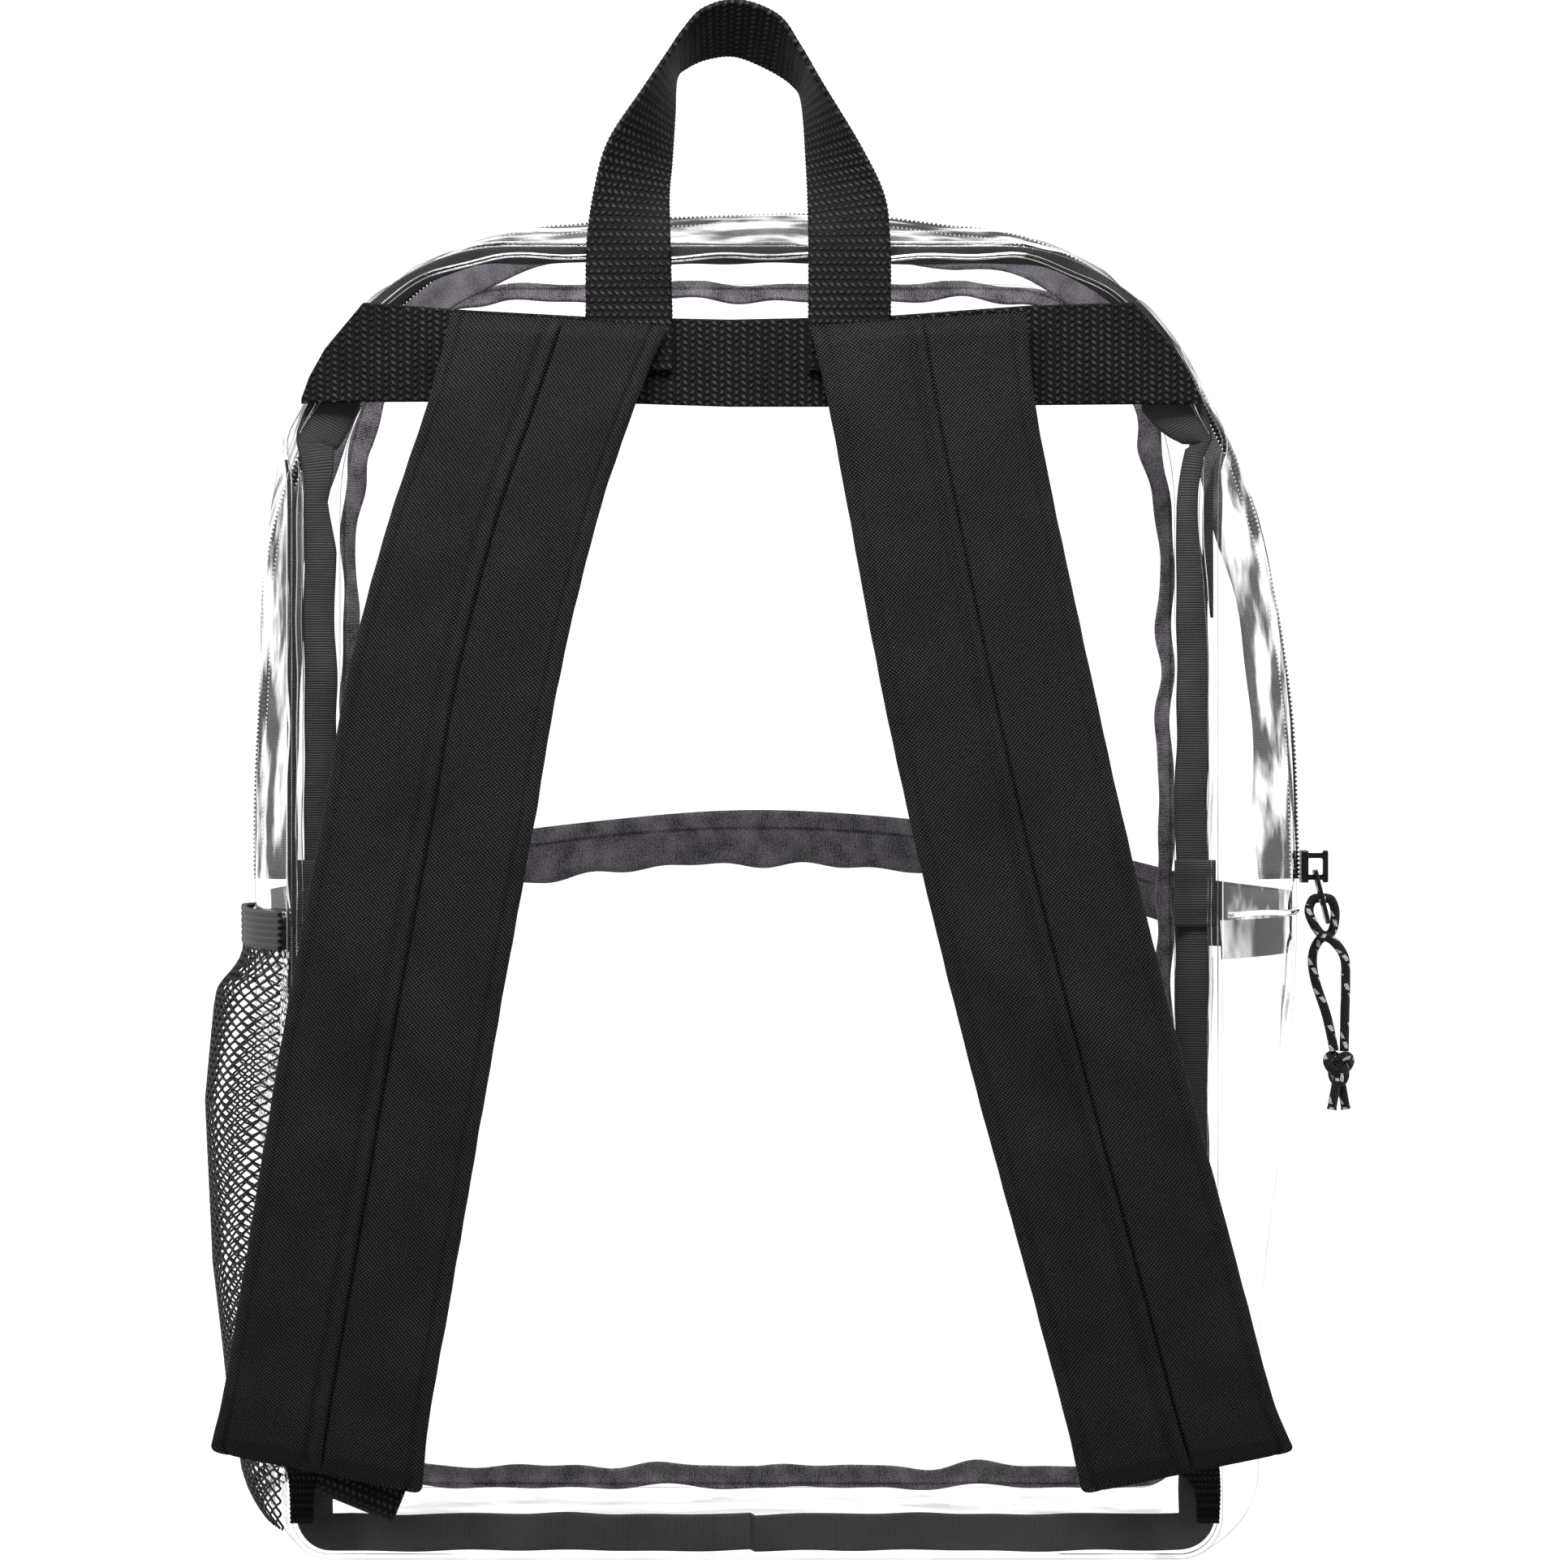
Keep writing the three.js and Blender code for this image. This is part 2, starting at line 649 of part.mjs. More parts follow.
// The skin at a height on one side, between the places of the seam lines
function sideSkin(side, y, z) {
  const places = range(BASE_STEPS + 1, HALF).map((i) =>
    side > 0 ? i : mirroredPlace(i),
  );
  const upper = Math.max(1, places.findIndex((i) => skin(i, y).z >= z));
  const a = skin(places[upper - 1], y);
  const b = skin(places[upper], y);
  return a.lerp(b, THREE.MathUtils.clamp((z - a.z) / (b.z - a.z), 0, 1));
}

// Net pocket: the net stands off the gusset and is sewn to both seams

// How far the net stands off, by height
const NET_STANDS = scaled(
  [
    { z: 0.031, off: 0.125 },
    { z: 0.112, off: 0.438 },
    { z: 0.265, off: 0.75 },
    { z: 0.459, off: 0.969 },
    { z: 0.735, off: 1 },
    { z: 0.898, off: 0.75 },
    { z: 1, off: 0.5 },
  ],
  { z: ELASTIC_FOOT_Z, off: NET_BELLY },
);

// The elastic lies close to the vinyl in its back half and gapes in its front half
const MOUTH_SHAPE = [
  { y: -1, gape: 0 },
  { y: -0.5, gape: 0.08 },
  { y: 0, gape: 0.14 },
  { y: 0.245, gape: 0.54 },
  { y: 0.49, gape: 1 },
  { y: 0.74, gape: 0.6 },
  { y: 1, gape: 0 },
];

function netPoint(y, z, depth) {
  const share = y / (DEPTH / 2);
  const belly = column(NET_STANDS, "z", "off", z) * (1 - Math.abs(share) ** 2.5);
  const mouth = MOUTH_GAPE * column(MOUTH_SHAPE, "y", "gape", share);
  const rise = (z - ELASTIC_FOOT_Z + MOUTH_REACH) / MOUTH_REACH;
  const off = mix(belly, mouth, THREE.MathUtils.smoothstep(rise, 0, 1));
  const point = sideSkin(-1, y, z);
  point.x -= 2 * GAP + off + depth;
  return point;
}

function buildNetPocket() {
  const rowCount = NET_ROWS;
  const columnCount = NET_COLUMNS;
  const ys = between(-SEAM_EDGE, SEAM_EDGE, columnCount);
  const zs = between(NET_FOOT_Z, ELASTIC_FOOT_Z - GAP, rowCount);
  const points = [];
  const layer = (depth) => {
    const first = points.length;
    for (const z of zs) for (const y of ys) points.push(netPoint(y, z, depth));
    const stepY = ys[1] - ys[0];
    const stepZ = zs[1] - zs[0];
    for (let r = 0; r < rowCount; r++) {
      for (let c = 0; c < columnCount; c++) {
        const y = ys[c] + stepY / 2;
        const z = zs[r] + stepZ / 2;
        points.push(netPoint(y, z - stepZ * NET_OPEN, depth));
        points.push(netPoint(y + stepY * NET_OPEN, z, depth));
        points.push(netPoint(y, z + stepZ * NET_OPEN, depth));
        points.push(netPoint(y - stepY * NET_OPEN, z, depth));
      }
    }
    return first;
  };
  const outer = layer(NET);
  const inner = layer(0);
  const grid = (rowCount + 1) * (columnCount + 1);
  const faces = [];
  const both = (a, b, c) => {
    faces.push([a + outer, b + outer, c + outer]);
    faces.push([a + inner, c + inner, b + inner]);
  };
  const rim = (a, b) => {
    faces.push([b + outer, a + outer, a + inner]);
    faces.push([b + outer, a + inner, b + inner]);
  };
  for (let r = 0; r < rowCount; r++) {
    for (let c = 0; c < columnCount; c++) {
      const low = r * (columnCount + 1) + c;
      const high = low + columnCount + 1;
      const corners = [low, low + 1, high + 1, high];
      const hole = grid + (r * columnCount + c) * 4;
      for (let k = 0; k < 4; k++) {
        const next = (k + 1) % 4;
        both(corners[k], corners[next], hole + k);
        both(corners[next], hole + next, hole + k);
        rim(hole + next, hole + k);
      }
      if (r === 0) rim(corners[0], corners[1]);
      if (c === columnCount - 1) rim(corners[1], corners[2]);
      if (r === rowCount - 1) rim(corners[2], corners[3]);
      if (c === 0) rim(corners[3], corners[0]);
    }
  }
  place("net_panel", solid(points, faces), "net");

  const bandZs = between(ELASTIC_FOOT_Z, ELASTIC_FOOT_Z + ELASTIC_HEIGHT, 2);
  const bandGrid = (depth) =>
    bandZs.map((z) => ys.map((y) => netPoint(y, z, depth)));
  const band = wall(bandGrid(ELASTIC), bandGrid(0));
  place("net_elastic", band, "elastic");
}

// Harness on the back panel: band, handle and straps lie over each other in that order

const BAND_Y = BACK_Y - GAP - WEBBING; // outer face of the band
const HANDLE_Y = BAND_Y - GAP - WEBBING; // outer face of the handle's legs
const PAD_BACK_Y = HANDLE_Y - GAP; // inner face of the straps at the band

// The band's wavy edges, with its ends cut along the rounded seam
const BAND_EDGE = scaled(
  [
    { x: -0.967, top: 0.879, bottom: 0.876 },
    { x: -0.917, top: 0.918, bottom: 0.877 },
    { x: -0.834, top: 0.953, bottom: 0.878 },
    { x: -0.364, top: 0.942, bottom: 0.878 },
    { x: -0.053, top: 0.94, bottom: 0.874 },
    { x: 0.265, top: 0.942, bottom: 0.874 },
    { x: 0.583, top: 0.951, bottom: 0.875 },
    { x: 0.808, top: 0.953, bottom: 0.876 },
    { x: 0.894, top: 0.918, bottom: 0.876 },
    { x: 0.954, top: 0.879, bottom: 0.876 },
  ],
  { x: BACK_HALF_WIDTH, top: BACK_HEIGHT, bottom: BACK_HEIGHT },
);

// The handle's two edges, from the left leg over to the right one
const HANDLE_EDGES = scaled(
  [
    { outerX: -0.499, outerZ: 0, innerX: -0.214, innerZ: 0, lean: 0, twist: 0 },
    { outerX: -0.498, outerZ: 0.161, innerX: -0.214, innerZ: 0.161, lean: 0, twist: 0 },
    { outerX: -0.494, outerZ: 0.355, innerX: -0.222, innerZ: 0.355, lean: 0.167, twist: 0.091 },
    { outerX: -0.463, outerZ: 0.507, innerX: -0.229, innerZ: 0.49, lean: 0.333, twist: 0.545 },
    { outerX: -0.418, outerZ: 0.625, innerX: -0.223, innerZ: 0.583, lean: 0.667, twist: 0.773 },
    { outerX: -0.306, outerZ: 0.76, innerX: -0.217, innerZ: 0.684, lean: 1, twist: 0.909 },
    { outerX: -0.189, outerZ: 0.887, innerX: -0.209, innerZ: 0.785, lean: 1, twist: 0.955 },
    { outerX: -0.117, outerZ: 0.971, innerX: -0.148, innerZ: 0.832, lean: 1, twist: 0.909 },
    { outerX: 0.002, outerZ: 0.999, innerX: -0.014, innerZ: 0.849, lean: 1, twist: 0.909 },
    { outerX: 0.155, outerZ: 0.938, innerX: 0.121, innerZ: 0.807, lean: 1, twist: 0.909 },
    { outerX: 0.266, outerZ: 0.781, innerX: 0.209, innerZ: 0.735, lean: 1, twist: 1 },
    { outerX: 0.398, outerZ: 0.604, innerX: 0.228, innerZ: 0.566, lean: 0.667, twist: 0.864 },
    { outerX: 0.478, outerZ: 0.473, innerX: 0.231, innerZ: 0.448, lean: 0.333, twist: 0.409 },
    { outerX: 0.498, outerZ: 0.346, innerX: 0.231, innerZ: 0.346, lean: 0.167, twist: 0.091 },
    { outerX: 0.5, outerZ: 0.161, innerX: 0.23, innerZ: 0.161, lean: 0, twist: 0 },
    { outerX: 0.5, outerZ: 0, innerX: 0.23, innerZ: 0, lean: 0, twist: 0 },
  ],
  {
    outerX: HANDLE_SPAN, outerZ: HANDLE_RISE, innerX: HANDLE_SPAN,
    innerZ: HANDLE_RISE, lean: HANDLE_LEAN, twist: HANDLE_DEPTH,
  },
);

// A strap's middle line down the back. Bow is how far it stands off, slant how much lower its inner edge is.
const PAD_LINE = scaled(
  [
    { z: 0.94, left: -0.415, right: 0.347, slant: 0.321, bow: 0, thick: 0.526, wide: 1.039 },
    { z: 0.871, left: -0.477, right: 0.378, slant: 0.143, bow: 0.061, thick: 0.895, wide: 0.985 },
    { z: 0.786, left: -0.553, right: 0.421, slant: 0.143, bow: 0.303, thick: 1, wide: 0.985 },
    { z: 0.673, left: -0.631, right: 0.483, slant: 0.214, bow: 0.606, thick: 1, wide: 1 },
    { z: 0.562, left: -0.684, right: 0.55, slant: 0.286, bow: 0.849, thick: 1, wide: 1 },
    { z: 0.452, left: -0.74, right: 0.625, slant: 0.286, bow: 0.97, thick: 1, wide: 1 },
    { z: 0.351, left: -0.79, right: 0.697, slant: 0.286, bow: 1, thick: 1, wide: 1 },
    { z: 0.226, left: -0.85, right: 0.793, slant: 0.357, bow: 0.909, thick: 1, wide: 0.993 },
    { z: 0.122, left: -0.901, right: 0.871, slant: 0.643, bow: 0.788, thick: 0.947, wide: 0.985 },
    { z: 0.073, left: -0.924, right: 0.914, slant: 1, bow: 0.727, thick: 0.632, wide: 1.03 },
  ],
  {
    z: BACK_HEIGHT, left: BACK_HALF_WIDTH, right: BACK_HALF_WIDTH,
    slant: PAD_SLANT, bow: PAD_BOW, thick: PAD_THICKNESS, wide: PAD_WIDTH,
  },
);

// Half of a strap's section, from its middle out: shares of its width and thickness, with a welt in a groove
const PAD_SECTION = [
  { across: 0, face: 0.47, back: -0.5 },
  { across: 0.022, face: 0.36, back: -0.5 },
  { across: 0.045, face: 0.42, back: -0.5 },
  { across: 0.16, face: 0.5, back: -0.5 },
  { across: 0.34, face: 0.47, back: -0.47 },
  { across: 0.45, face: 0.36, back: -0.38 },
  { across: 0.5, face: 0.08, back: -0.12 },
];

function buildBand() {
  const edge = [
    ...BAND_EDGE.map((row) => [row.x, row.top]),
    ...BAND_EDGE.slice(1, -1).reverse().map((row) => [row.x, row.bottom]),
  ];
  const shape = new THREE.Shape(edge.map(([x, z]) => new THREE.Vector2(x, z)));
  place("back_band", plate(shape, BAND_Y, BAND_Y + WEBBING), "webbing");
}

const handlePoint = (x, y, rise) =>
  new THREE.Vector3(HANDLE_MIDDLE_X + x, y, BACK_HEIGHT - HANDLE_SEAT + rise);

function buildHandle() {
  const middleY = HANDLE_Y + WEBBING / 2;
  const outer = HANDLE_EDGES.map(
    (row) => handlePoint(row.outerX, middleY - row.lean, row.outerZ),
  );
  const inner = HANDLE_EDGES.map((row) => {
    const y = middleY - row.lean + row.twist;
    return handlePoint(row.innerX, y, row.innerZ);
  });
  place("carry_handle", ribbon(outer, inner, WEBBING), "webbing");
}

// A strap's middle, across direction, width and thickness at a height
function padAt(side, z) {
  const at = (name) => {
    const rows = [...PAD_LINE].reverse();
    return column(rows, "z", name, z);
  };
  const x = at(side < 0 ? "left" : "right");
  const thickness = at("thick");
  const y = PAD_BACK_Y - at("bow") - thickness / 2;
  const width = at("wide");
  const fall = -side * at("slant"); // towards +X
  const across = new THREE.Vector3(width, 0, -fall).setLength(width);
  return { middle: new THREE.Vector3(x, y, z), across, thickness };
}

function buildPad(side) {
  const curveRows = PAD_LINE.map((row) => padAt(side, row.z));
  const middles = new THREE.CatmullRomCurve3(curveRows.map((row) => row.middle));
  const last = PAD_LINE.length - 1;
  const sections = steps(PAD_STATIONS).map((t) => {
    const i = Math.min(last - 1, Math.floor(t * last));
    const share = t * last - i;
    const [a, b] = [curveRows[i], curveRows[i + 1]];
    const middle = middles.getPoint(t);
    const across = a.across.clone().lerp(b.across, share);
    const thickness = mix(a.thickness, b.thickness, share);
    const point = (u, v) =>
      middle
        .clone()
        .addScaledVector(across, u)
        .add(new THREE.Vector3(0, -v * thickness, 0));
    const face = [
      ...PAD_SECTION.slice(1).reverse().map((p) => point(-p.across, p.face)),
      ...PAD_SECTION.map((p) => point(p.across, p.face)),
    ];
    const wideBack = PAD_SECTION.filter((p) => p.across > 0.1);
    const back = [
      ...[...wideBack].reverse().map((p) => point(p.across, p.back)),
      ...wideBack.map((p) => point(-p.across, p.back)),
    ];
    return [...face, ...back];
  });
  return loft(sections);
}

// Buckle and adjuster webbing, between a strap's foot and the bag's lower corner
function buildAdjuster(side, name) {
  const seat = padAt(side, BUCKLE_Z);
  const backY = seat.middle.y + seat.thickness / 2;
  const middleY = backY + 3 * GAP + BUCKLE_THICKNESS / 2;
  const outline = new THREE.Shape([
    new THREE.Vector2(-BUCKLE_WIDTH / 2, -BUCKLE_HEIGHT / 2),
    new THREE.Vector2(BUCKLE_WIDTH / 2, -BUCKLE_HEIGHT / 2),
    new THREE.Vector2(BUCKLE_WIDTH / 2, BUCKLE_HEIGHT / 2),
    new THREE.Vector2(-BUCKLE_WIDTH / 2, BUCKLE_HEIGHT / 2),
  ]);
  for (const level of [-1, 1]) {
    const middle = (level * BUCKLE_HEIGHT) / 5;
    const half = BUCKLE_SLOT / 2;
    const reach = ADJUSTER_WIDTH / 2 + 1;
    outline.holes.push(
      new THREE.Path([
        new THREE.Vector2(-reach, middle - half),
        new THREE.Vector2(-reach, middle + half),
        new THREE.Vector2(reach, middle + half),
        new THREE.Vector2(reach, middle - half),
      ]),
    );
  }
  const buckle = plate(outline, -BUCKLE_THICKNESS / 2, BUCKLE_THICKNESS / 2);
  buckle.translate(seat.middle.x, middleY, BUCKLE_Z);
  place(`buckle_${name}`, buckle, "hardware");

  const topZ = BUCKLE_Z - BUCKLE_HEIGHT / 2 - 3 * GAP;
  const half = ADJUSTER_WIDTH / 2;
  const flatZ = ADJUSTER_FOOT_Z + ADJUSTER_RUN;
  const path = [
    { x: side * ADJUSTER_ANCHOR_X, y: BACK_Y - GAP - WEBBING / 2, z: ADJUSTER_FOOT_Z },
    { x: side * ADJUSTER_ANCHOR_X, y: BACK_Y - GAP - WEBBING / 2, z: flatZ },
    { x: mix(side * ADJUSTER_ANCHOR_X, seat.middle.x, 0.5), y: BACK_Y - 4, z: flatZ + ADJUSTER_LIFT },
    { x: seat.middle.x, y: middleY + ADJUSTER_BEND, z: topZ - ADJUSTER_BEND },
    { x: seat.middle.x, y: middleY + 0.6, z: topZ },
  ];
  const left = path.map((p) => new THREE.Vector3(p.x - half, p.y, p.z));
  const right = path.map((p) => new THREE.Vector3(p.x + half, p.y, p.z));
  const webbing = ribbon(left, right, WEBBING);
  place(`adjuster_${name}`, webbing, "webbing");
}

// The end of the left adjuster, rolled up and tucked behind the strap's foot
function buildRoll() {
  const curve = steps(ROLL_STEPS).map((t) => {
    const angle = Math.PI + (1 - t) * ROLL_TURNS * 2 * Math.PI;
    const radius = mix(ROLL_START_RADIUS, ROLL_RADIUS, t);
    return [radius * Math.cos(angle), radius * Math.sin(angle)];
  });
  const [endY] = curve[curve.length - 1];
  curve.push([endY, ROLL_TAIL]);
  const grid = (inset) =>
    curve.map(([y, z], i) => {
      const before = curve[Math.max(0, i - 1)];
      const after = curve[Math.min(curve.length - 1, i + 1)];
      const along = new THREE.Vector2(after[0] - before[0], after[1] - before[1]);
      along.normalize();
      return [-1, 1].map(
        (end) =>
          new THREE.Vector3(
            (end * ROLL_LENGTH) / 2,
            y + along.y * inset,
            z - along.x * inset,
          ),
      );
    });
  const roll = wall(grid(0), grid(ROLL_WEBBING));
  const foot = padAt(-1, ROLL_Z + 6);
  const backY = foot.middle.y + foot.thickness / 2;
  roll.rotateY(THREE.MathUtils.degToRad(ROLL_DROP));
  roll.translate(ROLL_X, backY + GAP + ROLL_RADIUS, ROLL_Z);
  place("webbing_roll", roll, "webbing");
}

// Slider, pull tab and looped cord

// A round tube through points
function tube(points, diameter, stations, around = 8) {
  const curve = new THREE.CatmullRomCurve3(points, false, "centripetal");
  const { normals, binormals } = curve.computeFrenetFrames(stations, false);
  const sections = steps(stations).map((t, i) => {
    const middle = curve.getPointAt(t);
    return range(0, around - 1).map((k) => {
      const angle = (k / around) * 2 * Math.PI;
      return middle
        .clone()
        .addScaledVector(normals[i], (Math.cos(angle) * diameter) / 2)
        .addScaledVector(binormals[i], (Math.sin(angle) * diameter) / 2);
    });
  });
  return loft(sections);
}

function buildPull() {
  const seat = -UNDER_VINYL + 2 * GAP + ZIP_COIL_HEIGHT; // above the coil
  const at = sideSkin(1, RIDGE_Y, SLIDER_Z);
  const from = at.x + seat;
  const bodyX = SLIDER_THICKNESS / 2;
  const legX = SLIDER_THICKNESS + BRIDGE_REACH / 2;
  const legZ = SLIDER_LENGTH / 2 - BRIDGE_BAR;
  const slider = join(
    box(SLIDER_THICKNESS, SLIDER_WIDTH, SLIDER_LENGTH, bodyX, 0, 0),
    box(BRIDGE_REACH, BRIDGE_BAR, BRIDGE_BAR, legX, 0, legZ),
    box(BRIDGE_REACH, BRIDGE_BAR, BRIDGE_BAR, legX, 0, -legZ),
    box(
      BRIDGE_BAR,
      BRIDGE_BAR,
      SLIDER_LENGTH,
      SLIDER_THICKNESS + BRIDGE_REACH - BRIDGE_BAR / 2 + 1,
      0,
      0,
    ),
  );
  slider.translate(from, RIDGE_Y, SLIDER_Z);
  place("zip_slider", slider, "hardware");

  // The tab hangs on the slider's lower leg and leans away from the bag
  const hang = new THREE.Vector3(
    from + legX - 0.2,
    RIDGE_Y,
    SLIDER_Z - legZ + BRIDGE_BAR / 2 + GAP,
  );
  const half = PULL_WIDTH / 2;
  const shape = new THREE.Shape([
    new THREE.Vector2(-half, -PULL_LENGTH + 2),
    new THREE.Vector2(-half + 1.5, -PULL_LENGTH),
    new THREE.Vector2(half - 1.5, -PULL_LENGTH),
    new THREE.Vector2(half, -PULL_LENGTH + 2),
    new THREE.Vector2(half, PULL_RIM),
    new THREE.Vector2(-half, PULL_RIM),
  ]);
  const slot = (width, high, low) => {
    const w = width / 2;
    shape.holes.push(
      new THREE.Path([
        new THREE.Vector2(-w, low),
        new THREE.Vector2(-w, high),
        new THREE.Vector2(w, high),
        new THREE.Vector2(w, low),
      ]),
    );
  };
  slot(BRIDGE_BAR + 2 * GAP, 0, -BRIDGE_BAR - 2);
  slot(CORD_DIAMETER + 2 * GAP, -PULL_EYE_TOP, -PULL_EYE_TOP - PULL_EYE);
  const tab = plate(shape, -PULL_THICKNESS / 2, PULL_THICKNESS / 2);
  tab.rotateZ(Math.PI / 2); // its faces now look along X
  tab.rotateY(-THREE.MathUtils.degToRad(PULL_LEAN));
  tab.translate(hang.x, hang.y, hang.z);
  place("pull_tab", tab, "hardware");

  // Each half of the cord starts in the tab's eye, crosses the other one below the tab and ends at the knot
  const lean = THREE.MathUtils.degToRad(PULL_LEAN);
  const eyeDrop = PULL_EYE_TOP + PULL_EYE / 2;
  const eye = new THREE.Vector3(
    hang.x + eyeDrop * Math.sin(lean),
    RIDGE_Y,
    hang.z - eyeDrop * Math.cos(lean),
  );
  const path = (side) =>
    CORD_PATH.map((row) => {
      const out = side < 0 ? row.inward : row.outward;
      return new THREE.Vector3(eye.x + out, RIDGE_Y + side * row.apart, eye.z - row.drop);
    });
  place("pull_cord_inner", tube(path(-1), CORD_DIAMETER, CORD_STATIONS), "cord");
  place("pull_cord_outer", tube(path(1), CORD_DIAMETER, CORD_STATIONS), "cord");

  const end = CORD_PATH[CORD_PATH.length - 1];
  const knotAt = new THREE.Vector3(
    eye.x + (end.inward + end.outward) / 2,
    RIDGE_Y,
    eye.z - end.drop - GAP - KNOT_HEIGHT / 2,
  );
  const core = new THREE.SphereGeometry(KNOT_RADIUS * 0.9, 14, 10);
  core.scale(1, 1, KNOT_HEIGHT / 2 / KNOT_RADIUS);
  const rings = [-1, 0, 1].map((level) => {
    const ring = new THREE.TorusGeometry(KNOT_RADIUS - CORD_DIAMETER / 2, CORD_DIAMETER / 2, 6, 14);
    ring.rotateX(level === 0 ? -0.5 : 0.45);
    ring.rotateY(level === 1 ? 0.4 : -0.25);
    return ring.translate(level * 0.8, 0, level * KNOT_HEIGHT * 0.27);
  });
  const tails = [-1, 1].map((side) =>
    tube(
      [
        new THREE.Vector3(side * 1.6, side * 0.6, -KNOT_HEIGHT / 2 + 3),
        new THREE.Vector3(side * 2.2, side * 1.2, -KNOT_HEIGHT / 2 - 1),
        new THREE.Vector3(side * 2.6, side * 1.6, -KNOT_HEIGHT / 2 - KNOT_TAIL),
      ],
      CORD_DIAMETER,
      4,
    ),
  );
  const knot = join(core, ...rings, ...tails);
  knot.translate(knotAt.x, knotAt.y, knotAt.z);
  place("pull_knot", knot, "cord");
}

buildPanels();
buildFrontPocket();
buildBindings();
buildZip();
buildNetPocket();
buildBand();
buildHandle();
place("strap_left", buildPad(-1), "padding");
place("strap_right", buildPad(1), "padding");
buildAdjuster(-1, "left");
buildAdjuster(1, "right");
buildRoll();
buildPull();

export default pack;
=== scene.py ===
# The look of the clear day pack: vinyl, bindings, webbing, straps, zip, net and cord, over the CAD frame.
# Shapes are worked out in millimetres and stored in metres. The camera looks at the worn side from -Y.
import math

import bpy
import numpy as np
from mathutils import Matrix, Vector


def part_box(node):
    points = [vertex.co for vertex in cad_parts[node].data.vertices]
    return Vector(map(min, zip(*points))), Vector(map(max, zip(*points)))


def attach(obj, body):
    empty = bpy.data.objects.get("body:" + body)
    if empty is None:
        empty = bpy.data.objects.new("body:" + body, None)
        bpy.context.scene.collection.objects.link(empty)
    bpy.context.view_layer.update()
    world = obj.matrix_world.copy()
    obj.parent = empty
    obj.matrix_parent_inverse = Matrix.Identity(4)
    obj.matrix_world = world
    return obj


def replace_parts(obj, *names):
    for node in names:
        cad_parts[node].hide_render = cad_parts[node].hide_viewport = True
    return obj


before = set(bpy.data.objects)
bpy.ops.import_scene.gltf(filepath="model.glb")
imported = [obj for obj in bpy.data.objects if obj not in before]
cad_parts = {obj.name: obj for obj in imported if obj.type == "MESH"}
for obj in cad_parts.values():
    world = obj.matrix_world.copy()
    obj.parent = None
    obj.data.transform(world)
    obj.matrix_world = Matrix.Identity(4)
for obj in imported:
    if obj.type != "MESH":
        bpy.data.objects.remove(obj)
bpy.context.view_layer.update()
scene = bpy.context.scene

# Camera
camera_data = bpy.data.cameras.new("camera")
camera = bpy.data.objects.new("camera", camera_data)
scene.collection.objects.link(camera)
camera.location = (0.0094, -1.53, 0.250)
camera.rotation_euler = (math.radians(90), 0, 0)
camera_data.sensor_width = 36
camera_data.lens = 104
camera_data.clip_end = 30
scene.camera = camera

MM = 0.001

# Sizes of the bag, as in the CAD
DEPTH = 140.0
BACK_Y = -70.0
FRONT_Y = 70.0
RIDGE_Y = 10.0
SEAM_Z = 206.0
SEAM_FOOT = 14.0
BACK_HALF_WIDTH = 151.0
BACK_HEIGHT = 425.0
BACK_CORNER = (71.0, 81.0)
FRONT_HALF_WIDTH = 149.0
FRONT_HEIGHT = 428.0
FRONT_CORNER = (62.0, 82.0)
FRONT_BULGE = 9.0
RIDGE_HEIGHT = 443.0
RIDGE_CORNER = (102.0, 138.0)
RIDGE_FOOT = 20.0
SHEET_EDGE = 69.5
BAND_Y = -72.1
HANDLE_Y = -74.2
PAD_BACK_Y = -74.5
ZIP_TAPE_WIDTH = 30.0
SLOT = 8.0


# Small tools for curves and meshes


def smooth(t):
    t = np.clip(t, 0, 1)
    return t * t * (3 - 2 * t)


def catmull(rows, count):
    """Points on a smooth curve through rows, count of them, evenly shared between the rows."""
    rows = np.asarray(rows, float)
    last = len(rows) - 1
    t = np.linspace(0, last, count)
    i = np.minimum(t.astype(int), last - 1)
    u = (t - i)[:, None]
    a = rows[np.maximum(i - 1, 0)]
    b = rows[i]
    c = rows[i + 1]
    d = rows[np.minimum(i + 2, last)]
    return 0.5 * (
        2 * b
        + (c - a) * u
        + (2 * a - 5 * b + 4 * c - d) * u**2
        + (3 * b - a - 3 * c + d) * u**3
    )


def run_along(path):
    """The distance of each point from the path's start."""
    return np.r_[0, np.cumsum(np.linalg.norm(np.diff(path, axis=0), axis=1))]


def unit(vectors):
    return vectors / np.linalg.norm(vectors, axis=-1, keepdims=True)


def uv_grid(across, along):
    """The place on the cloth of each point of a grid."""
    return np.stack(np.broadcast_arrays(across, along), 2)


def at_depth(flat, y):
    """Points across and up, set at a depth."""
    return np.stack([flat[..., 0], np.broadcast_to(y, flat.shape[:-1]), flat[..., 1]], -1)


def by_length(path, count):
    """The same path with its points at even distances."""
    path = np.asarray(path, float)
    far = run_along(path)
    at = np.linspace(0, far[-1], count)
    return np.stack([np.interp(at, far, path[:, k]) for k in range(path.shape[1])], 1)


def waves(x, seed, wavelengths, amplitude):
    """An uneven ripple: a few sines of different lengths."""
    chance = np.random.default_rng(seed)
    total = np.zeros_like(x)
    for wavelength in wavelengths:
        phase = chance.uniform(0, 2 * math.pi)
        total = total + np.sin(2 * math.pi * x / wavelength + phase) * chance.uniform(0.6, 1)
    return amplitude * total / len(wavelengths)


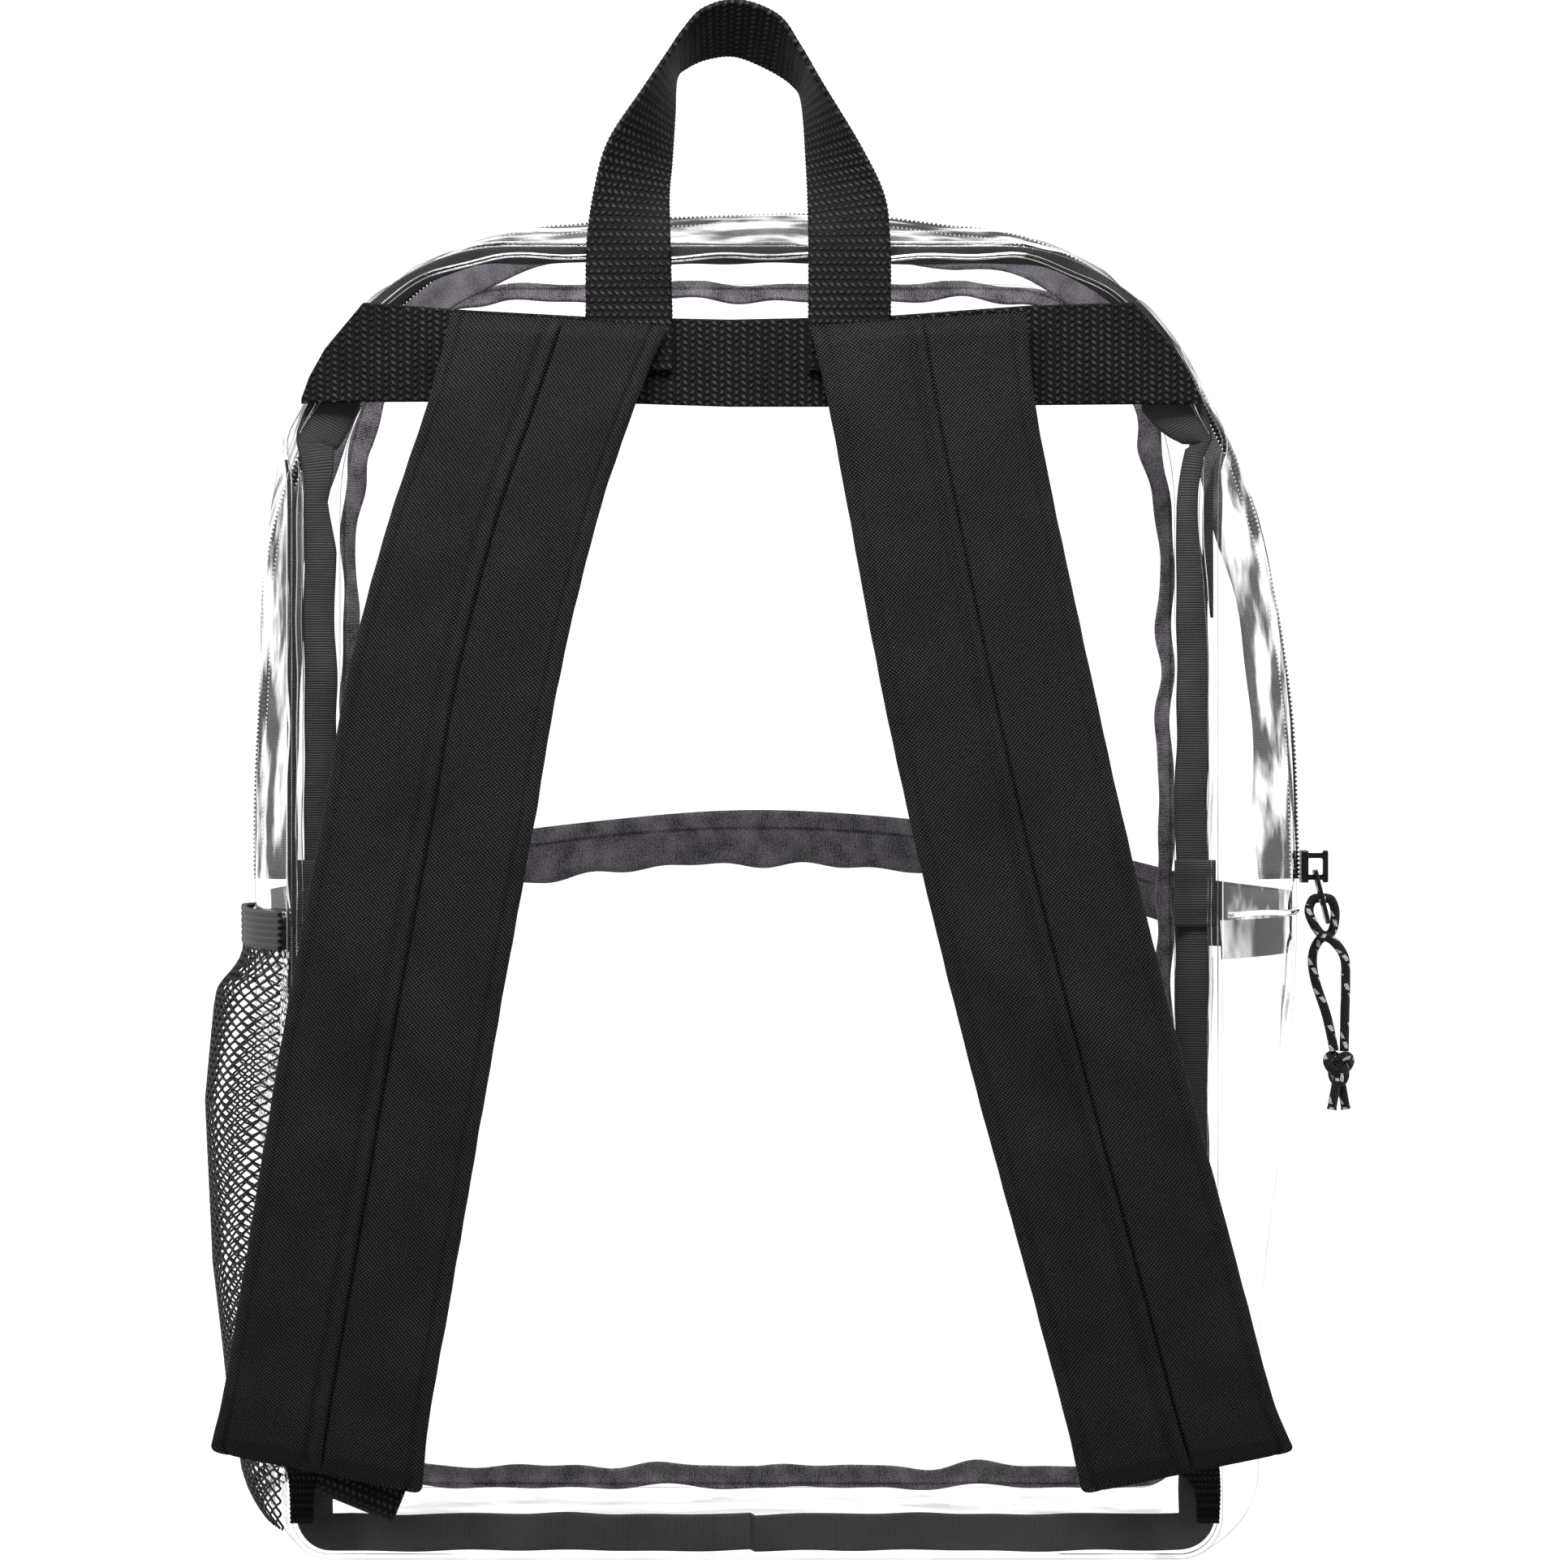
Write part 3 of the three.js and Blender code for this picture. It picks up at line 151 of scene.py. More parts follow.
def normals_of(grid, ring=False):
    """Unit normals of a grid of points."""
    if ring:
        du = np.roll(grid, -1, 0) - np.roll(grid, 1, 0)
    else:
        du = np.gradient(grid, axis=0)
    dv = np.gradient(grid, axis=1)
    n = np.cross(du, dv)
    size = np.linalg.norm(n, axis=2, keepdims=True)
    return n / np.maximum(size, 1e-9)


def grid_faces(rows, columns, ring_rows=False, ring_columns=False, first=0):
    i = np.arange(rows if ring_rows else rows - 1)
    j = np.arange(columns if ring_columns else columns - 1)
    i, j = np.meshgrid(i, j, indexing="ij")
    i2 = (i + 1) % rows
    j2 = (j + 1) % columns
    quads = np.stack([i * columns + j, i2 * columns + j, i2 * columns + j2, i * columns + j2], -1)
    return quads.reshape(-1, 4) + first


def mesh_object(name, points, faces, material, uv=None):
    """A mesh object in metres that rides on the bag. uv holds a pair of millimetres for each point."""
    me = bpy.data.meshes.new(name)
    me.from_pydata((np.asarray(points) * MM).tolist(), [], [list(map(int, f)) for f in faces])
    me.validate()
    if uv is not None:
        layer = me.attributes.new("place", "FLOAT_VECTOR", "POINT")
        values = np.zeros((len(points), 3), np.float32)
        values[:, : uv.shape[1]] = uv
        layer.data.foreach_set("vector", values.ravel())
    me.shade_smooth()
    me.materials.append(material)
    ob = bpy.data.objects.new(name, me)
    scene.collection.objects.link(ob)
    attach(ob, "root")
    return ob


def sheet_mesh(name, grid, material, uv=None):
    """One layer of points as a smooth sheet."""
    faces = grid_faces(*grid.shape[:2])
    listed = None if uv is None else uv.reshape(-1, 2)
    return mesh_object(name, grid.reshape(-1, 3), faces, material, listed)


def slab_mesh(name, grid, thickness, material, uv, ring=False):
    """A strip with thickness: the grid is its middle, and its edges are closed."""
    n = normals_of(grid, ring)
    half = thickness / 2
    rows, columns = grid.shape[:2]
    if np.ndim(half):
        half = half[..., None]
    points = np.concatenate([(grid + n * half).reshape(-1, 3), (grid - n * half).reshape(-1, 3)])
    top = grid_faces(rows, columns, ring)
    count = rows * columns
    bottom = top[:, ::-1] + count
    sides = []
    spread = rows if ring else rows - 1
    i = np.arange(spread)
    i2 = (i + 1) % rows
    for j, turn in ((0, False), (columns - 1, True)):
        a = i * columns + j
        b = i2 * columns + j
        quad = np.stack([a, a + count, b + count, b], 1)
        sides.append(quad[:, ::-1] if turn else quad)
    if not ring:
        j = np.arange(columns - 1)
        for row, turn in ((0, True), (rows - 1, False)):
            a = row * columns + j
            b = a + 1
            quad = np.stack([a, a + count, b + count, b], 1)
            sides.append(quad[:, ::-1] if turn else quad)
    faces = np.concatenate([top, bottom, *sides])
    places = np.concatenate([uv.reshape(-1, 2)] * 2)
    return mesh_object(name, points, faces, material, places)


def tube_mesh(name, path, radius, around, material, cap=True):
    """A tube along a path. radius is a number or one for each point."""
    path = np.asarray(path, float)
    count = len(path)
    radius = np.broadcast_to(radius, (count,)).astype(float)
    along = unit(np.gradient(path, axis=0))
    up = np.cross(along[0], [0.31, 0.87, 0.38])
    up /= np.linalg.norm(up)
    ups = []
    for t in along:
        up = up - t * np.dot(up, t)
        up /= np.linalg.norm(up)
        ups.append(up)
    ups = np.array(ups)
    side = np.cross(along, ups)
    angle = np.linspace(0, 2 * math.pi, around, endpoint=False)
    ring = ups[:, None] * np.cos(angle)[:, None] + side[:, None] * np.sin(angle)[:, None]
    points = path[:, None] + ring * radius[:, None, None]
    faces = grid_faces(count, around, False, True).tolist()
    points = points.reshape(-1, 3)
    if cap:
        faces.append(list(range(around)))
        faces.append(list(range((count - 1) * around, count * around))[::-1])
    uv = np.stack([np.tile(angle / (2 * math.pi), count), np.repeat(run_along(path), around)], 1)
    return mesh_object(name, points, faces, material, uv)


def merge(objects, name):
    """Several meshes made into one piece."""
    bpy.ops.object.select_all(action="DESELECT")
    for ob in objects:
        ob.select_set(True)
    bpy.context.view_layer.objects.active = objects[0]
    bpy.ops.object.join()
    objects[0].name = name
    return objects[0]


# Seam and ridge lines round the bag


def half_line(half, height, corner_width, corner_height, foot, belly=0.0, crown=0.0, pinch=0.0):
    """One half of a line round the bag, from the base's middle, up the side, to the top's middle."""
    corner_z = height - crown - corner_height
    top_x = half - corner_width

    def swell(z):
        reach = np.minimum(1, np.abs(z - 215) / 190)
        bump = (z - corner_z - 18) / 9
        return belly * np.cos(reach * math.pi / 2) ** 2 + pinch * np.exp(-bump * bump)

    base = np.linspace(0, 1, 13)
    rows = [np.stack([(half - foot) * base, 0 * base], 1)]
    turn = np.linspace(0, math.pi / 2, 15)[1:]
    rows.append(np.stack([half - foot + foot * np.sin(turn), foot - foot * np.cos(turn)], 1))
    lower = foot + (SEAM_Z - foot) * np.linspace(0, 1, 31)[1:]
    upper = SEAM_Z + (corner_z - SEAM_Z) * np.linspace(0, 1, 25)[1:]
    z = np.r_[lower, upper]
    rows.append(np.stack([half + swell(z), z], 1))
    turn = np.linspace(0, math.pi / 2, 37)[1:]
    z = corner_z + corner_height * np.sin(turn)
    rows.append(np.stack([top_x + corner_width * np.cos(turn) + swell(z), z], 1))
    x = top_x * (1 - np.linspace(0, 1, 19)[1:])
    rows.append(np.stack([x, height - crown * (x / top_x) ** 2], 1))
    return np.concatenate(rows)


def ring_line(right, left):
    mirrored = left[::-1] * [-1, 1]
    return np.concatenate([right, mirrored[1:-1]])


back_half = half_line(BACK_HALF_WIDTH, BACK_HEIGHT, *BACK_CORNER, SEAM_FOOT, pinch=3)
front_half = half_line(FRONT_HALF_WIDTH, FRONT_HEIGHT, *FRONT_CORNER, SEAM_FOOT)
BACK = ring_line(back_half, back_half)
FRONT = ring_line(front_half, front_half)
RIDGE = ring_line(
    half_line(170, RIDGE_HEIGHT, *RIDGE_CORNER, RIDGE_FOOT, belly=14, crown=4),
    half_line(165, RIDGE_HEIGHT, *RIDGE_CORNER, RIDGE_FOOT, belly=5, crown=4),
)
RING = len(BACK)
HALF = RING // 2
SEAM_PLACE = 12 + 14 + 30  # where the cross seam is, counted from the middle of the base


def ring_length(line):
    step = np.linalg.norm(np.diff(line, axis=0, append=line[:1]), axis=1)
    return np.r_[0, np.cumsum(step)[:-1]]


RIDGE_RUN = ring_length(RIDGE)


def skin(y):
    """The gusset's outer skin at each place round the bag and each depth."""
    y = np.asarray(y, float)
    share = ((y - BACK_Y) / DEPTH)[None, :, None]
    ridge_share = (RIDGE_Y - BACK_Y) / DEPTH
    seam = BACK[:, None] * (1 - share) + FRONT[:, None] * share
    ridge_seam = BACK * (1 - ridge_share) + FRONT * ridge_share
    away = np.where(
        y < RIDGE_Y, (RIDGE_Y - y) / (RIDGE_Y - BACK_Y), (y - RIDGE_Y) / (FRONT_Y - RIDGE_Y)
    )
    swell = (1 - away**2)[None, :, None]
    p = seam + (RIDGE - ridge_seam)[:, None] * swell
    return at_depth(p, y)


# On the right side a normal that points out of the bag has a positive x
check = normals_of(skin(np.linspace(-60, 60, 9)), ring=True)[SEAM_PLACE, 4]
OUT = 1.0 if check[0] > 0 else -1.0


def move(grid, normal, distance):
    return grid + normal * OUT * np.asarray(distance)[..., None]


# Materials


class Shader:
    """A short way to write node materials."""

    def __init__(self, name):
        self.material = bpy.data.materials.new(name)
        self.material.use_nodes = True
        self.tree = self.material.node_tree
        self.tree.nodes.clear()
        self.output = self.tree.nodes.new("ShaderNodeOutputMaterial")

    def node(self, kind, settings=None, **inputs):
        n = self.tree.nodes.new(kind)
        for key, value in (settings or {}).items():
            setattr(n, key, value)
        for key, value in inputs.items():
            self.put(n.inputs[key.replace("_", " ")], value)
        return n

    def put(self, socket, value):
        if isinstance(value, bpy.types.NodeSocket):
            self.tree.links.new(value, socket)
        elif isinstance(value, bpy.types.Node):
            self.tree.links.new(value.outputs[0], socket)
        else:
            socket.default_value = value

    def math(self, operation, a, b=0.0, c=0.0):
        n = self.tree.nodes.new("ShaderNodeMath")
        n.operation = operation
        for socket, value in zip(n.inputs, (a, b, c)):
            self.put(socket, value)
        return n.outputs[0]

    def mul(self, a, b):
        return self.math("MULTIPLY", a, b)

    def add(self, a, b):
        return self.math("ADD", a, b)

    def sub(self, a, b):
        return self.math("SUBTRACT", a, b)

    def mul_add(self, a, b, c):
        return self.math("MULTIPLY_ADD", a, b, c)

    def place(self):
        """Each point's own place on the cloth, in millimetres: across and along."""
        read = self.node("ShaderNodeAttribute", {"attribute_name": "place"})
        split = self.node("ShaderNodeSeparateXYZ", Vector=read.outputs["Vector"])
        return split.outputs[0], split.outputs[1], read.outputs["Vector"]

    def wave(self, value, pitch, shift=0.0):
        """0 to 1 and back over each pitch."""
        turned = self.mul_add(value, 2 * math.pi / pitch, shift)
        return self.mul_add(self.math("SINE", turned), 0.5, 0.5)

    def noise(self, vector, scale, detail=2.0):
        return self.node("ShaderNodeTexNoise", Vector=vector, Scale=scale, Detail=detail).outputs[0]

    def soft_range(self, *values):
        """A value eased from one range to another: value, low and high, new low and new high."""
        n = self.node("ShaderNodeMapRange", {"interpolation_type": "SMOOTHSTEP"})
        for socket, value in zip(n.inputs, values):
            self.put(socket, value)
        return n.outputs[0]

    def ramp(self, value, stops):
        n = self.node("ShaderNodeValToRGB")
        self.put(n.inputs[0], value)
        elements = n.color_ramp.elements
        while len(elements) < len(stops):
            elements.new(0.5)
        for element, (at, color) in zip(elements, stops):
            element.position = at
            element.color = (*color, 1)
        return n.outputs[0]

    def finish(self, color, roughness, height=None, distance=0.0003, strength=1.0, sheen=0.0, specular=0.3):
        shader = self.node(
            "ShaderNodeBsdfPrincipled",
            Base_Color=color,
            Roughness=roughness,
            Specular_IOR_Level=specular,
            Sheen_Weight=sheen,
            Sheen_Roughness=0.4,
        )
        if height is not None:
            bump = self.node("ShaderNodeBump", Strength=strength, Distance=distance, Height=height)
            self.put(shader.inputs["Normal"], bump)
        self.put(self.output.inputs["Surface"], shader.outputs[0])
        return self.material


def grey(value):
    return (value,) * 3


def plain_weave(name, across_pitch, along_pitch, dark, light, edge, roughness, distance):
    """A plain weave: each thread shows as a small bump where it lies on top, in staggered rows."""
    s = Shader(name)
    across, along, place = s.place()
    tilt = s.noise(place, 0.02, 1.0)
    u = s.mul_add(tilt, 3.0, across)
    v = s.mul_add(tilt, -2.0, along)
    weft = s.math("SINE", s.mul(u, math.pi / across_pitch))
    warp = s.math("SINE", s.mul(v, math.pi / along_pitch))
    dots = s.mul_add(s.mul(weft, warp), 0.5, 0.5)
    slub = s.noise(place, 1.3, 2.0)
    height = s.mul_add(slub, 0.5, s.sub(dots, 0.25))
    cloud = s.noise(place, 0.035, 3.0)
    tone = s.mul(height, s.mul_add(cloud, 0.7, 0.65))
    color = s.ramp(tone, [(0.25, dark), (1.0, light)])
    # Painted sheen: towards grazing angles the raised threads take the lilac edge colour, standing in for
    # backlight catching the cloth's edges.
    weight = s.node("ShaderNodeLayerWeight", Blend=0.5)
    rim_sheen = s.node("ShaderNodeMix", {"data_type": "RGBA"})
    s.put(rim_sheen.inputs[0], s.mul(s.math("POWER", weight.outputs["Facing"], 3.0), height))
    s.put(rim_sheen.inputs[6], color)
    rim_sheen.inputs[7].default_value = (*edge, 1)
    return s.finish(rim_sheen.outputs[2], roughness, height, distance, 1.0, 0.0, 0.08)


def webbing_weave(name, columns, rows, dark, light, roughness, distance):
    """Webbing: rows of short slanted stitches, every other row set over and leaning less; the stitches are
    coloured lighter as a painted highlight.
    """
    s = Shader(name)
    across, along, place = s.place()
    row = s.mul(along, 1 / rows)
    count = s.math("FLOOR", row)
    odd = s.math("PINGPONG", count, 1.0)
    up = s.sub(s.sub(row, count), 0.5)
    wander = s.mul(s.noise(place, 0.09, 1.0), 0.5)
    shift = s.add(s.mul_add(odd, 0.4, wander), s.mul(across, 1 / columns))
    side = s.sub(s.math("FRACT", shift), 0.5)
    lean = s.mul_add(side, s.mul_add(odd, -0.7, 0.5), up)
    near_side = s.mul_add(s.mul(side, side), -6.0, 1.0)
    near_up = s.mul_add(s.mul(lean, lean), -9.0, 1.0)
    stitch = s.mul(s.math("MAXIMUM", near_side, 0.0), s.math("MAXIMUM", near_up, 0.0))
    fibre = s.wave(s.mul_add(across, 0.4, along), 0.5)
    grain = s.noise(place, 1.6, 2.0)
    height = s.add(stitch, s.mul_add(fibre, 0.10, s.mul(grain, 0.2)))
    # Painted highlight: the stitches are coloured lighter than the ground, 30 % dimmer on every other row
    # and stronger or weaker in soft clouds.
    cloud = s.noise(place, 0.05, 2.0)
    bright = s.mul(s.mul_add(odd, -0.3, 1.0), s.mul_add(cloud, 1.6, 0.1))
    tone = s.mul(height, bright)
    color = s.ramp(tone, [(0.25, dark), (1.1, light)])
    return s.finish(color, roughness, height, distance, 1.0, 0.0, 0.10)


def ribbed(name, pitch, dark, light, roughness, distance, along_rows=True, patches=0.0, specular=0.3):
    """Binding tape and elastic: fine ribs, with soft lighter patches."""
    s = Shader(name)
    across, along, place = s.place()
    rib = s.wave(along if along_rows else across, pitch)
    fibre = s.noise(place, 1.1, 3.0)
    height = s.add(s.mul(rib, 0.7), s.mul(fibre, 0.3))
    tone = s.add(s.mul(height, 0.6), s.mul(s.noise(place, 0.06, 2.0), patches))
    color = s.ramp(tone, [(0.2, dark), (0.9, light)])
    return s.finish(color, roughness, height, distance, 0.8, 0.1, specular)


def velvet(name, dark, light, middle):
    """Fluffy tape seen through the sheet: speckled, with darker patches and, at one place, a dark line."""
    s = Shader(name)
    across, along, place = s.place()
    speck = s.noise(place, 1.6, 2.0)
    patch = s.noise(place, 0.11, 3.0)
    ribs = s.wave(along, 0.9)
    tone = s.mul_add(speck, 1.5, s.mul_add(patch, 1.3, -0.95))
    tone = s.mul_add(ribs, 0.12, tone)
    if middle:
        off = s.sub(across, middle)
        line = s.mul_add(s.mul(off, off), -1.6, 1.0)
        tone = s.sub(tone, s.mul(s.math("MAXIMUM", line, 0.0), 0.28))
    color = s.ramp(tone, [(0.15, dark), (0.95, light)])
    height = s.add(speck, s.mul(ribs, 0.4))
    return s.finish(color, 0.95, height, 0.0004, 1.0, 0.3, 0.05)


def plain(name, color, roughness, specular=0.5, grain=0.05):
    s = Shader(name)
    grains = s.noise(s.node("ShaderNodeTexCoord").outputs["Object"], 900.0, 2.0)
    value = s.mul_add(grains, grain * 2, roughness - grain)
    tone = s.ramp(grains, [(0.2, tuple(c * 0.8 for c in color)), (0.8, tuple(c * 1.25 for c in color))])
    return s.finish(tone, value, grains, 0.00002, 0.4, 0.0, specular)


def vinyl(name, edge, gloss, ripple, marble, stretch=None):
    """Clear sheet: nearly nothing face on, a painted grey shade edge on, with a marbled shine over dark
    things.
    """
    s = Shader(name)
    place = s.node("ShaderNodeTexCoord").outputs["Object"]
    size = 9.0
    if stretch:
        read = s.node("ShaderNodeAttribute", {"attribute_name": "place"})
        place = s.node("ShaderNodeMapping", Vector=read.outputs["Vector"], Scale=stretch).outputs[0]
        size = 1.0
    wide = s.noise(place, size, 1.0)
    fine = s.noise(place, size * 3.3, 1.0)
    bump = s.node("ShaderNodeBump", Strength=ripple, Distance=0.006, Height=s.mul_add(fine, 0.22, wide))
    facing = s.node("ShaderNodeLayerWeight", Blend=0.5).outputs["Facing"]
    # Painted shade: the see-through colour greys towards grazing angles, mostly in place of the darker
    # surroundings the sheet would reflect there, a little for the sheet's own tint along its longer path.
    through = s.ramp(facing, [(0.90, (0.995, 0.995, 0.995)), (0.995, edge)])
    clear_part = s.node("ShaderNodeBsdfTransparent", Color=through)
    glossy = s.node("ShaderNodeBsdfGlossy", Roughness=0.03, Color=(1, 1, 1, 1), Normal=bump)
    fresnel = s.node("ShaderNodeFresnel", IOR=1.5, Normal=bump)
    streak = s.noise(place, size * 1.9, 3.0)
    low, high = marble
    spots = s.soft_range(streak, 0.42, 0.62, low * gloss, high * gloss)
    amount = s.math("MINIMUM", s.mul(fresnel, spots), 0.96)
    both = s.node("ShaderNodeMixShader")
    for socket, value in zip(both.inputs, (amount, clear_part, glossy)):
        s.put(socket, value)
    s.put(s.output.inputs["Surface"], both)
    return s.material


def flecked_cord(name):
    """Braided black cord with short slanted white flecks."""
    s = Shader(name)
    around, along, place = s.place()
    turn = s.math("FRACT", s.mul(s.mul_add(along, 0.05, around), 2.0))
    stripe = s.math("LESS_THAN", s.math("ABSOLUTE", s.sub(turn, 0.5)), 0.15)
    dash = s.math("LESS_THAN", s.math("FRACT", s.mul(along, 0.30)), 0.66)
    spell = s.math("GREATER_THAN", s.noise(place, 0.12, 0.0), 0.44)
    white = s.mul(s.mul(stripe, dash), spell)
    a = s.wave(s.add(s.mul(around, 8.0), along), 1.35)
    b = s.wave(s.sub(s.mul(around, 8.0), along), 1.35)
    height = s.math("MAXIMUM", a, b)
    color = s.ramp(white, [(0.0, (0.009, 0.009, 0.009)), (1.0, (0.62, 0.60, 0.62))])
    return s.finish(color, 0.7, height, 0.0003, 1.0, 0.1)


# Each clear sheet's first colour is its painted grey shade at grazing angles.
CLEAR = vinyl("clear_vinyl", (0.45, 0.45, 0.47), 1.0, 0.12, (0.5, 1.3))
CLEAR_LOOSE = vinyl("clear_vinyl_loose", (0.5, 0.5, 0.53), 1.0, 0.45, (0.08, 1.2), (0.035, 0.020, 0))
CLEAR_CALM = vinyl("clear_vinyl_calm", (0.5, 0.5, 0.53), 0.5, 0.3, (0.1, 1.5), (0.03, 0.012, 0))
CLEAR_FOLD = vinyl("clear_vinyl_fold", (0.35, 0.35, 0.37), 2.4, 0.5, (0.3, 2.5))
# The strap's lilac edge colour is a painted sheen of backlight at grazing angles.
STRAP = plain_weave("strap_fabric", 0.64, 0.60, grey(0.003), grey(0.046), (0.11, 0.095, 0.115), 0.7, 0.0006)
# The webbing's light colour is the painted highlight of its stitches.
WEBBING = webbing_weave("webbing", 2.15, 2.35, grey(0.004), grey(0.041), 0.6, 0.0006)
LILAC_GREY = (0.050, 0.0485, 0.0505)
BINDING = ribbed("binding", 0.8, grey(0.010), LILAC_GREY, 0.5, 0.0002, patches=0.5, specular=0.15)
# The front binding is the same dark tape as the back one, coloured paler: painted haze standing in for the
# light of the clear sheets it is seen through. The pocket's zip tape is drawn with it too.
FAR_BINDING_PAINTED_HAZE = velvet("binding_far_painted_haze", (0.030, 0.027, 0.032), (0.235, 0.215, 0.240), 3.4)
TAPE = velvet("zip_tape", (0.030, 0.027, 0.033), (0.150, 0.135, 0.156), 0.0)
COIL = plain("zip_coil", grey(0.010), 0.4)
METAL = plain("pull_metal", grey(0.007), 0.35, 0.6)
PLASTIC = plain("buckle_plastic", grey(0.008), 0.5)
CORD = flecked_cord("cord")
NET = plain("net", (0.010, 0.009, 0.010), 0.6, 0.3)
ELASTIC = ribbed("elastic", 2.1, grey(0.004), (0.070, 0.064, 0.072), 0.6, 0.0006, False)

# Cord of the zip pull: each half leaves the tab's eye, crosses the other and ends at the knot
CORD_DIAMETER = 3.2
# Drop below the eye, inward half's and outward half's distance from it, and how far apart
CORD_PATH = [
    (0.0, -0.2, 0.2, 0.0),
    (0.0, -1.4, 1.4, 0.0),
    (0.8, -3.3, 3.3, 0.0),
    (5.0, -4.4, 4.6, 0.8),
    (11.5, -1.2, 3.6, 1.8),
    (14.5, 3.6, -0.8, 2.1),
    (20.0, 7.4, -3.0, 1.6),
    (28.0, 8.0, -2.2, 0.6),
    (40.0, 7.8, 1.6, 0.0),
    (52.0, 7.6, 4.2, 0.0),
]
KNOT_SIZE = 1.42


def centre_of(node):
    """The middle of a CAD piece's box, in millimetres."""
    low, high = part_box(node)
    return (np.array(low) + np.array(high)) / 2 / MM


def cord_path(side, eye):
    drop, inward, outward, apart = np.array(CORD_PATH).T
    x = eye[0] + (inward if side < 0 else outward)
    rows = np.stack([x, RIDGE_Y + side * apart, eye[1] - drop], 1)
    return by_length(catmull(rows, 160), 120)


def find_eye():
    """The tab's eye: the place from which both halves' paths fill the CAD cords' boxes."""
    tops = [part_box(node)[1].z for node in ("pull_cord_outer", "pull_cord_inner")]
    top = max(tops) / MM - CORD_DIAMETER / 2
    trial = cord_path(-1, (0.0, 0.0))
    middle = (trial[:, 0].min() + trial[:, 0].max()) / 2
    return centre_of("pull_cord_inner")[0] - middle, top - trial[:, 2].max()


eye = find_eye()
halves = []
for side, node in ((-1, "pull_cord_inner"), (1, "pull_cord_outer")):
    path = cord_path(side, eye)
    piece = tube_mesh(f"cord_{node[10:]}", path, CORD_DIAMETER / 2, 14, CORD)
    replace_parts(piece, node)
    halves.append((piece, path))


def knot_mesh():
    x = centre_of("pull_knot")[0]
    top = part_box("pull_knot")[1].z / MM
    t = np.linspace(0, 2 * math.pi, 150)
    r = KNOT_SIZE
    loop_x = x + r * (np.sin(t) + 2 * np.sin(2 * t))
    loop_z = top - 5.0 + 1.25 * r * (np.cos(t) - 2 * np.cos(2 * t))
    pieces = [np.stack([loop_x, RIDGE_Y + 2.0 * np.sin(3 * t), loop_z], 1)]
    for side in (-1, 1):
        rows = [
            [x + side * 0.6, RIDGE_Y + side * 1.0, top - 9.0],
            [x + side * 1.6, RIDGE_Y + side * 1.4, top - 14.0],
            [x + side * 2.6, RIDGE_Y + side * 1.6, top - 19.6],
        ]
        pieces.append(catmull(rows, 26))
    obs = []
    for i, p in enumerate(pieces):
        radius = np.full(len(p), CORD_DIAMETER / 2)
        if i:
            radius[-3:] *= [1.06, 1.12, 1.02]
        obs.append(tube_mesh(f"knot_{i}", p, radius, 12, CORD))
    core = catmull([[x, RIDGE_Y, top - 1.5], [x, RIDGE_Y, top - 11]], 12)
    obs.append(tube_mesh("knot_core", core, 2.4, 12, CORD))
    return merge(obs, "cord_knot")


knot = knot_mesh()
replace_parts(knot, "pull_knot")
for (piece, path), pieces in zip(halves, ((), (knot,))):
    run = np.linalg.norm(np.diff(path, axis=0), axis=1).sum() * MM

# Clear panels


def panel_mesh(name, line, y_at, rings, material):
    """A panel filled from its middle outwards, so that its edge is the seam line."""
    centre = np.array([0.0, (line[:, 1].max() + line[:, 1].min()) / 2])
    share = np.linspace(0.02, 1, rings)[None, :, None]
    flat = centre + (line[:, None] - centre) * share
    grid = at_depth(flat, y_at(flat[..., 0], flat[..., 1]))
    rows, columns = grid.shape[:2]
    faces = grid_faces(rows, columns, True).tolist()
    faces.append([i * columns for i in range(rows)][::-1])
    return mesh_object(name, grid.reshape(-1, 3), faces, material)


def back_y(x, z):
    return BACK_Y + 0.3 + 0.5 * np.sin(x / 37 + 0.7) * np.sin(z / 61)


def front_y(x, z):
    side = np.clip(1 - (x / FRONT_HALF_WIDTH) ** 2, 0, 1)
    return FRONT_Y + FRONT_BULGE * side * np.sin(math.pi * np.clip(z / FRONT_HEIGHT, 0, 1)) - 0.5


back_panel = panel_mesh("back_sheet", BACK, back_y, 26, CLEAR)
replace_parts(back_panel, "back_panel")
front_panel = panel_mesh("front_sheet", FRONT, front_y, 26, CLEAR)
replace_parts(front_panel, "front_panel")

PUCKER_REACH = 16.0


def puckers(y, seed):
    """Ripples of the gusset along its seams, dying away from them, and a slow sway in its middle."""
    run = RIDGE_RUN[:, None]
    edge = np.minimum(y - BACK_Y, FRONT_Y - y)
    near = np.exp(-((edge / PUCKER_REACH) ** 2))
    ripple = waves(run + 0 * edge, seed, (23, 37, 61), 1.3) * near
    sway = waves(run + 0.6 * y, seed + 1, (84, 131), 0.9) * (1 - near)
    base = smooth((skin(y)[..., 2] - 6) / 30)
    return (ripple + sway - 0.9) * base


def sheet_at(y, lift, seed=3):
    """The gusset's rippled sheet at depths y, lifted by a distance, and its normals."""
    grid = skin(y)
    normal = normals_of(grid, ring=True)
    return move(grid, normal, puckers(y, seed) + lift), normal


def gusset_mesh(name, node, places, y, seed, material):
    grid, _ = sheet_at(y, 0, seed)
    whole = RIDGE_RUN[-1] + np.linalg.norm(RIDGE[0] - RIDGE[-1])
    run = np.where(np.arange(RING) > RING - SEAM_PLACE - 1, RIDGE_RUN - whole, RIDGE_RUN)
    if not np.any(places < SEAM_PLACE):
        run = RIDGE_RUN
    uv = uv_grid(y, run[:, None])[places]
    ob = sheet_mesh(name, grid[places], material, uv)
    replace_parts(ob, node)


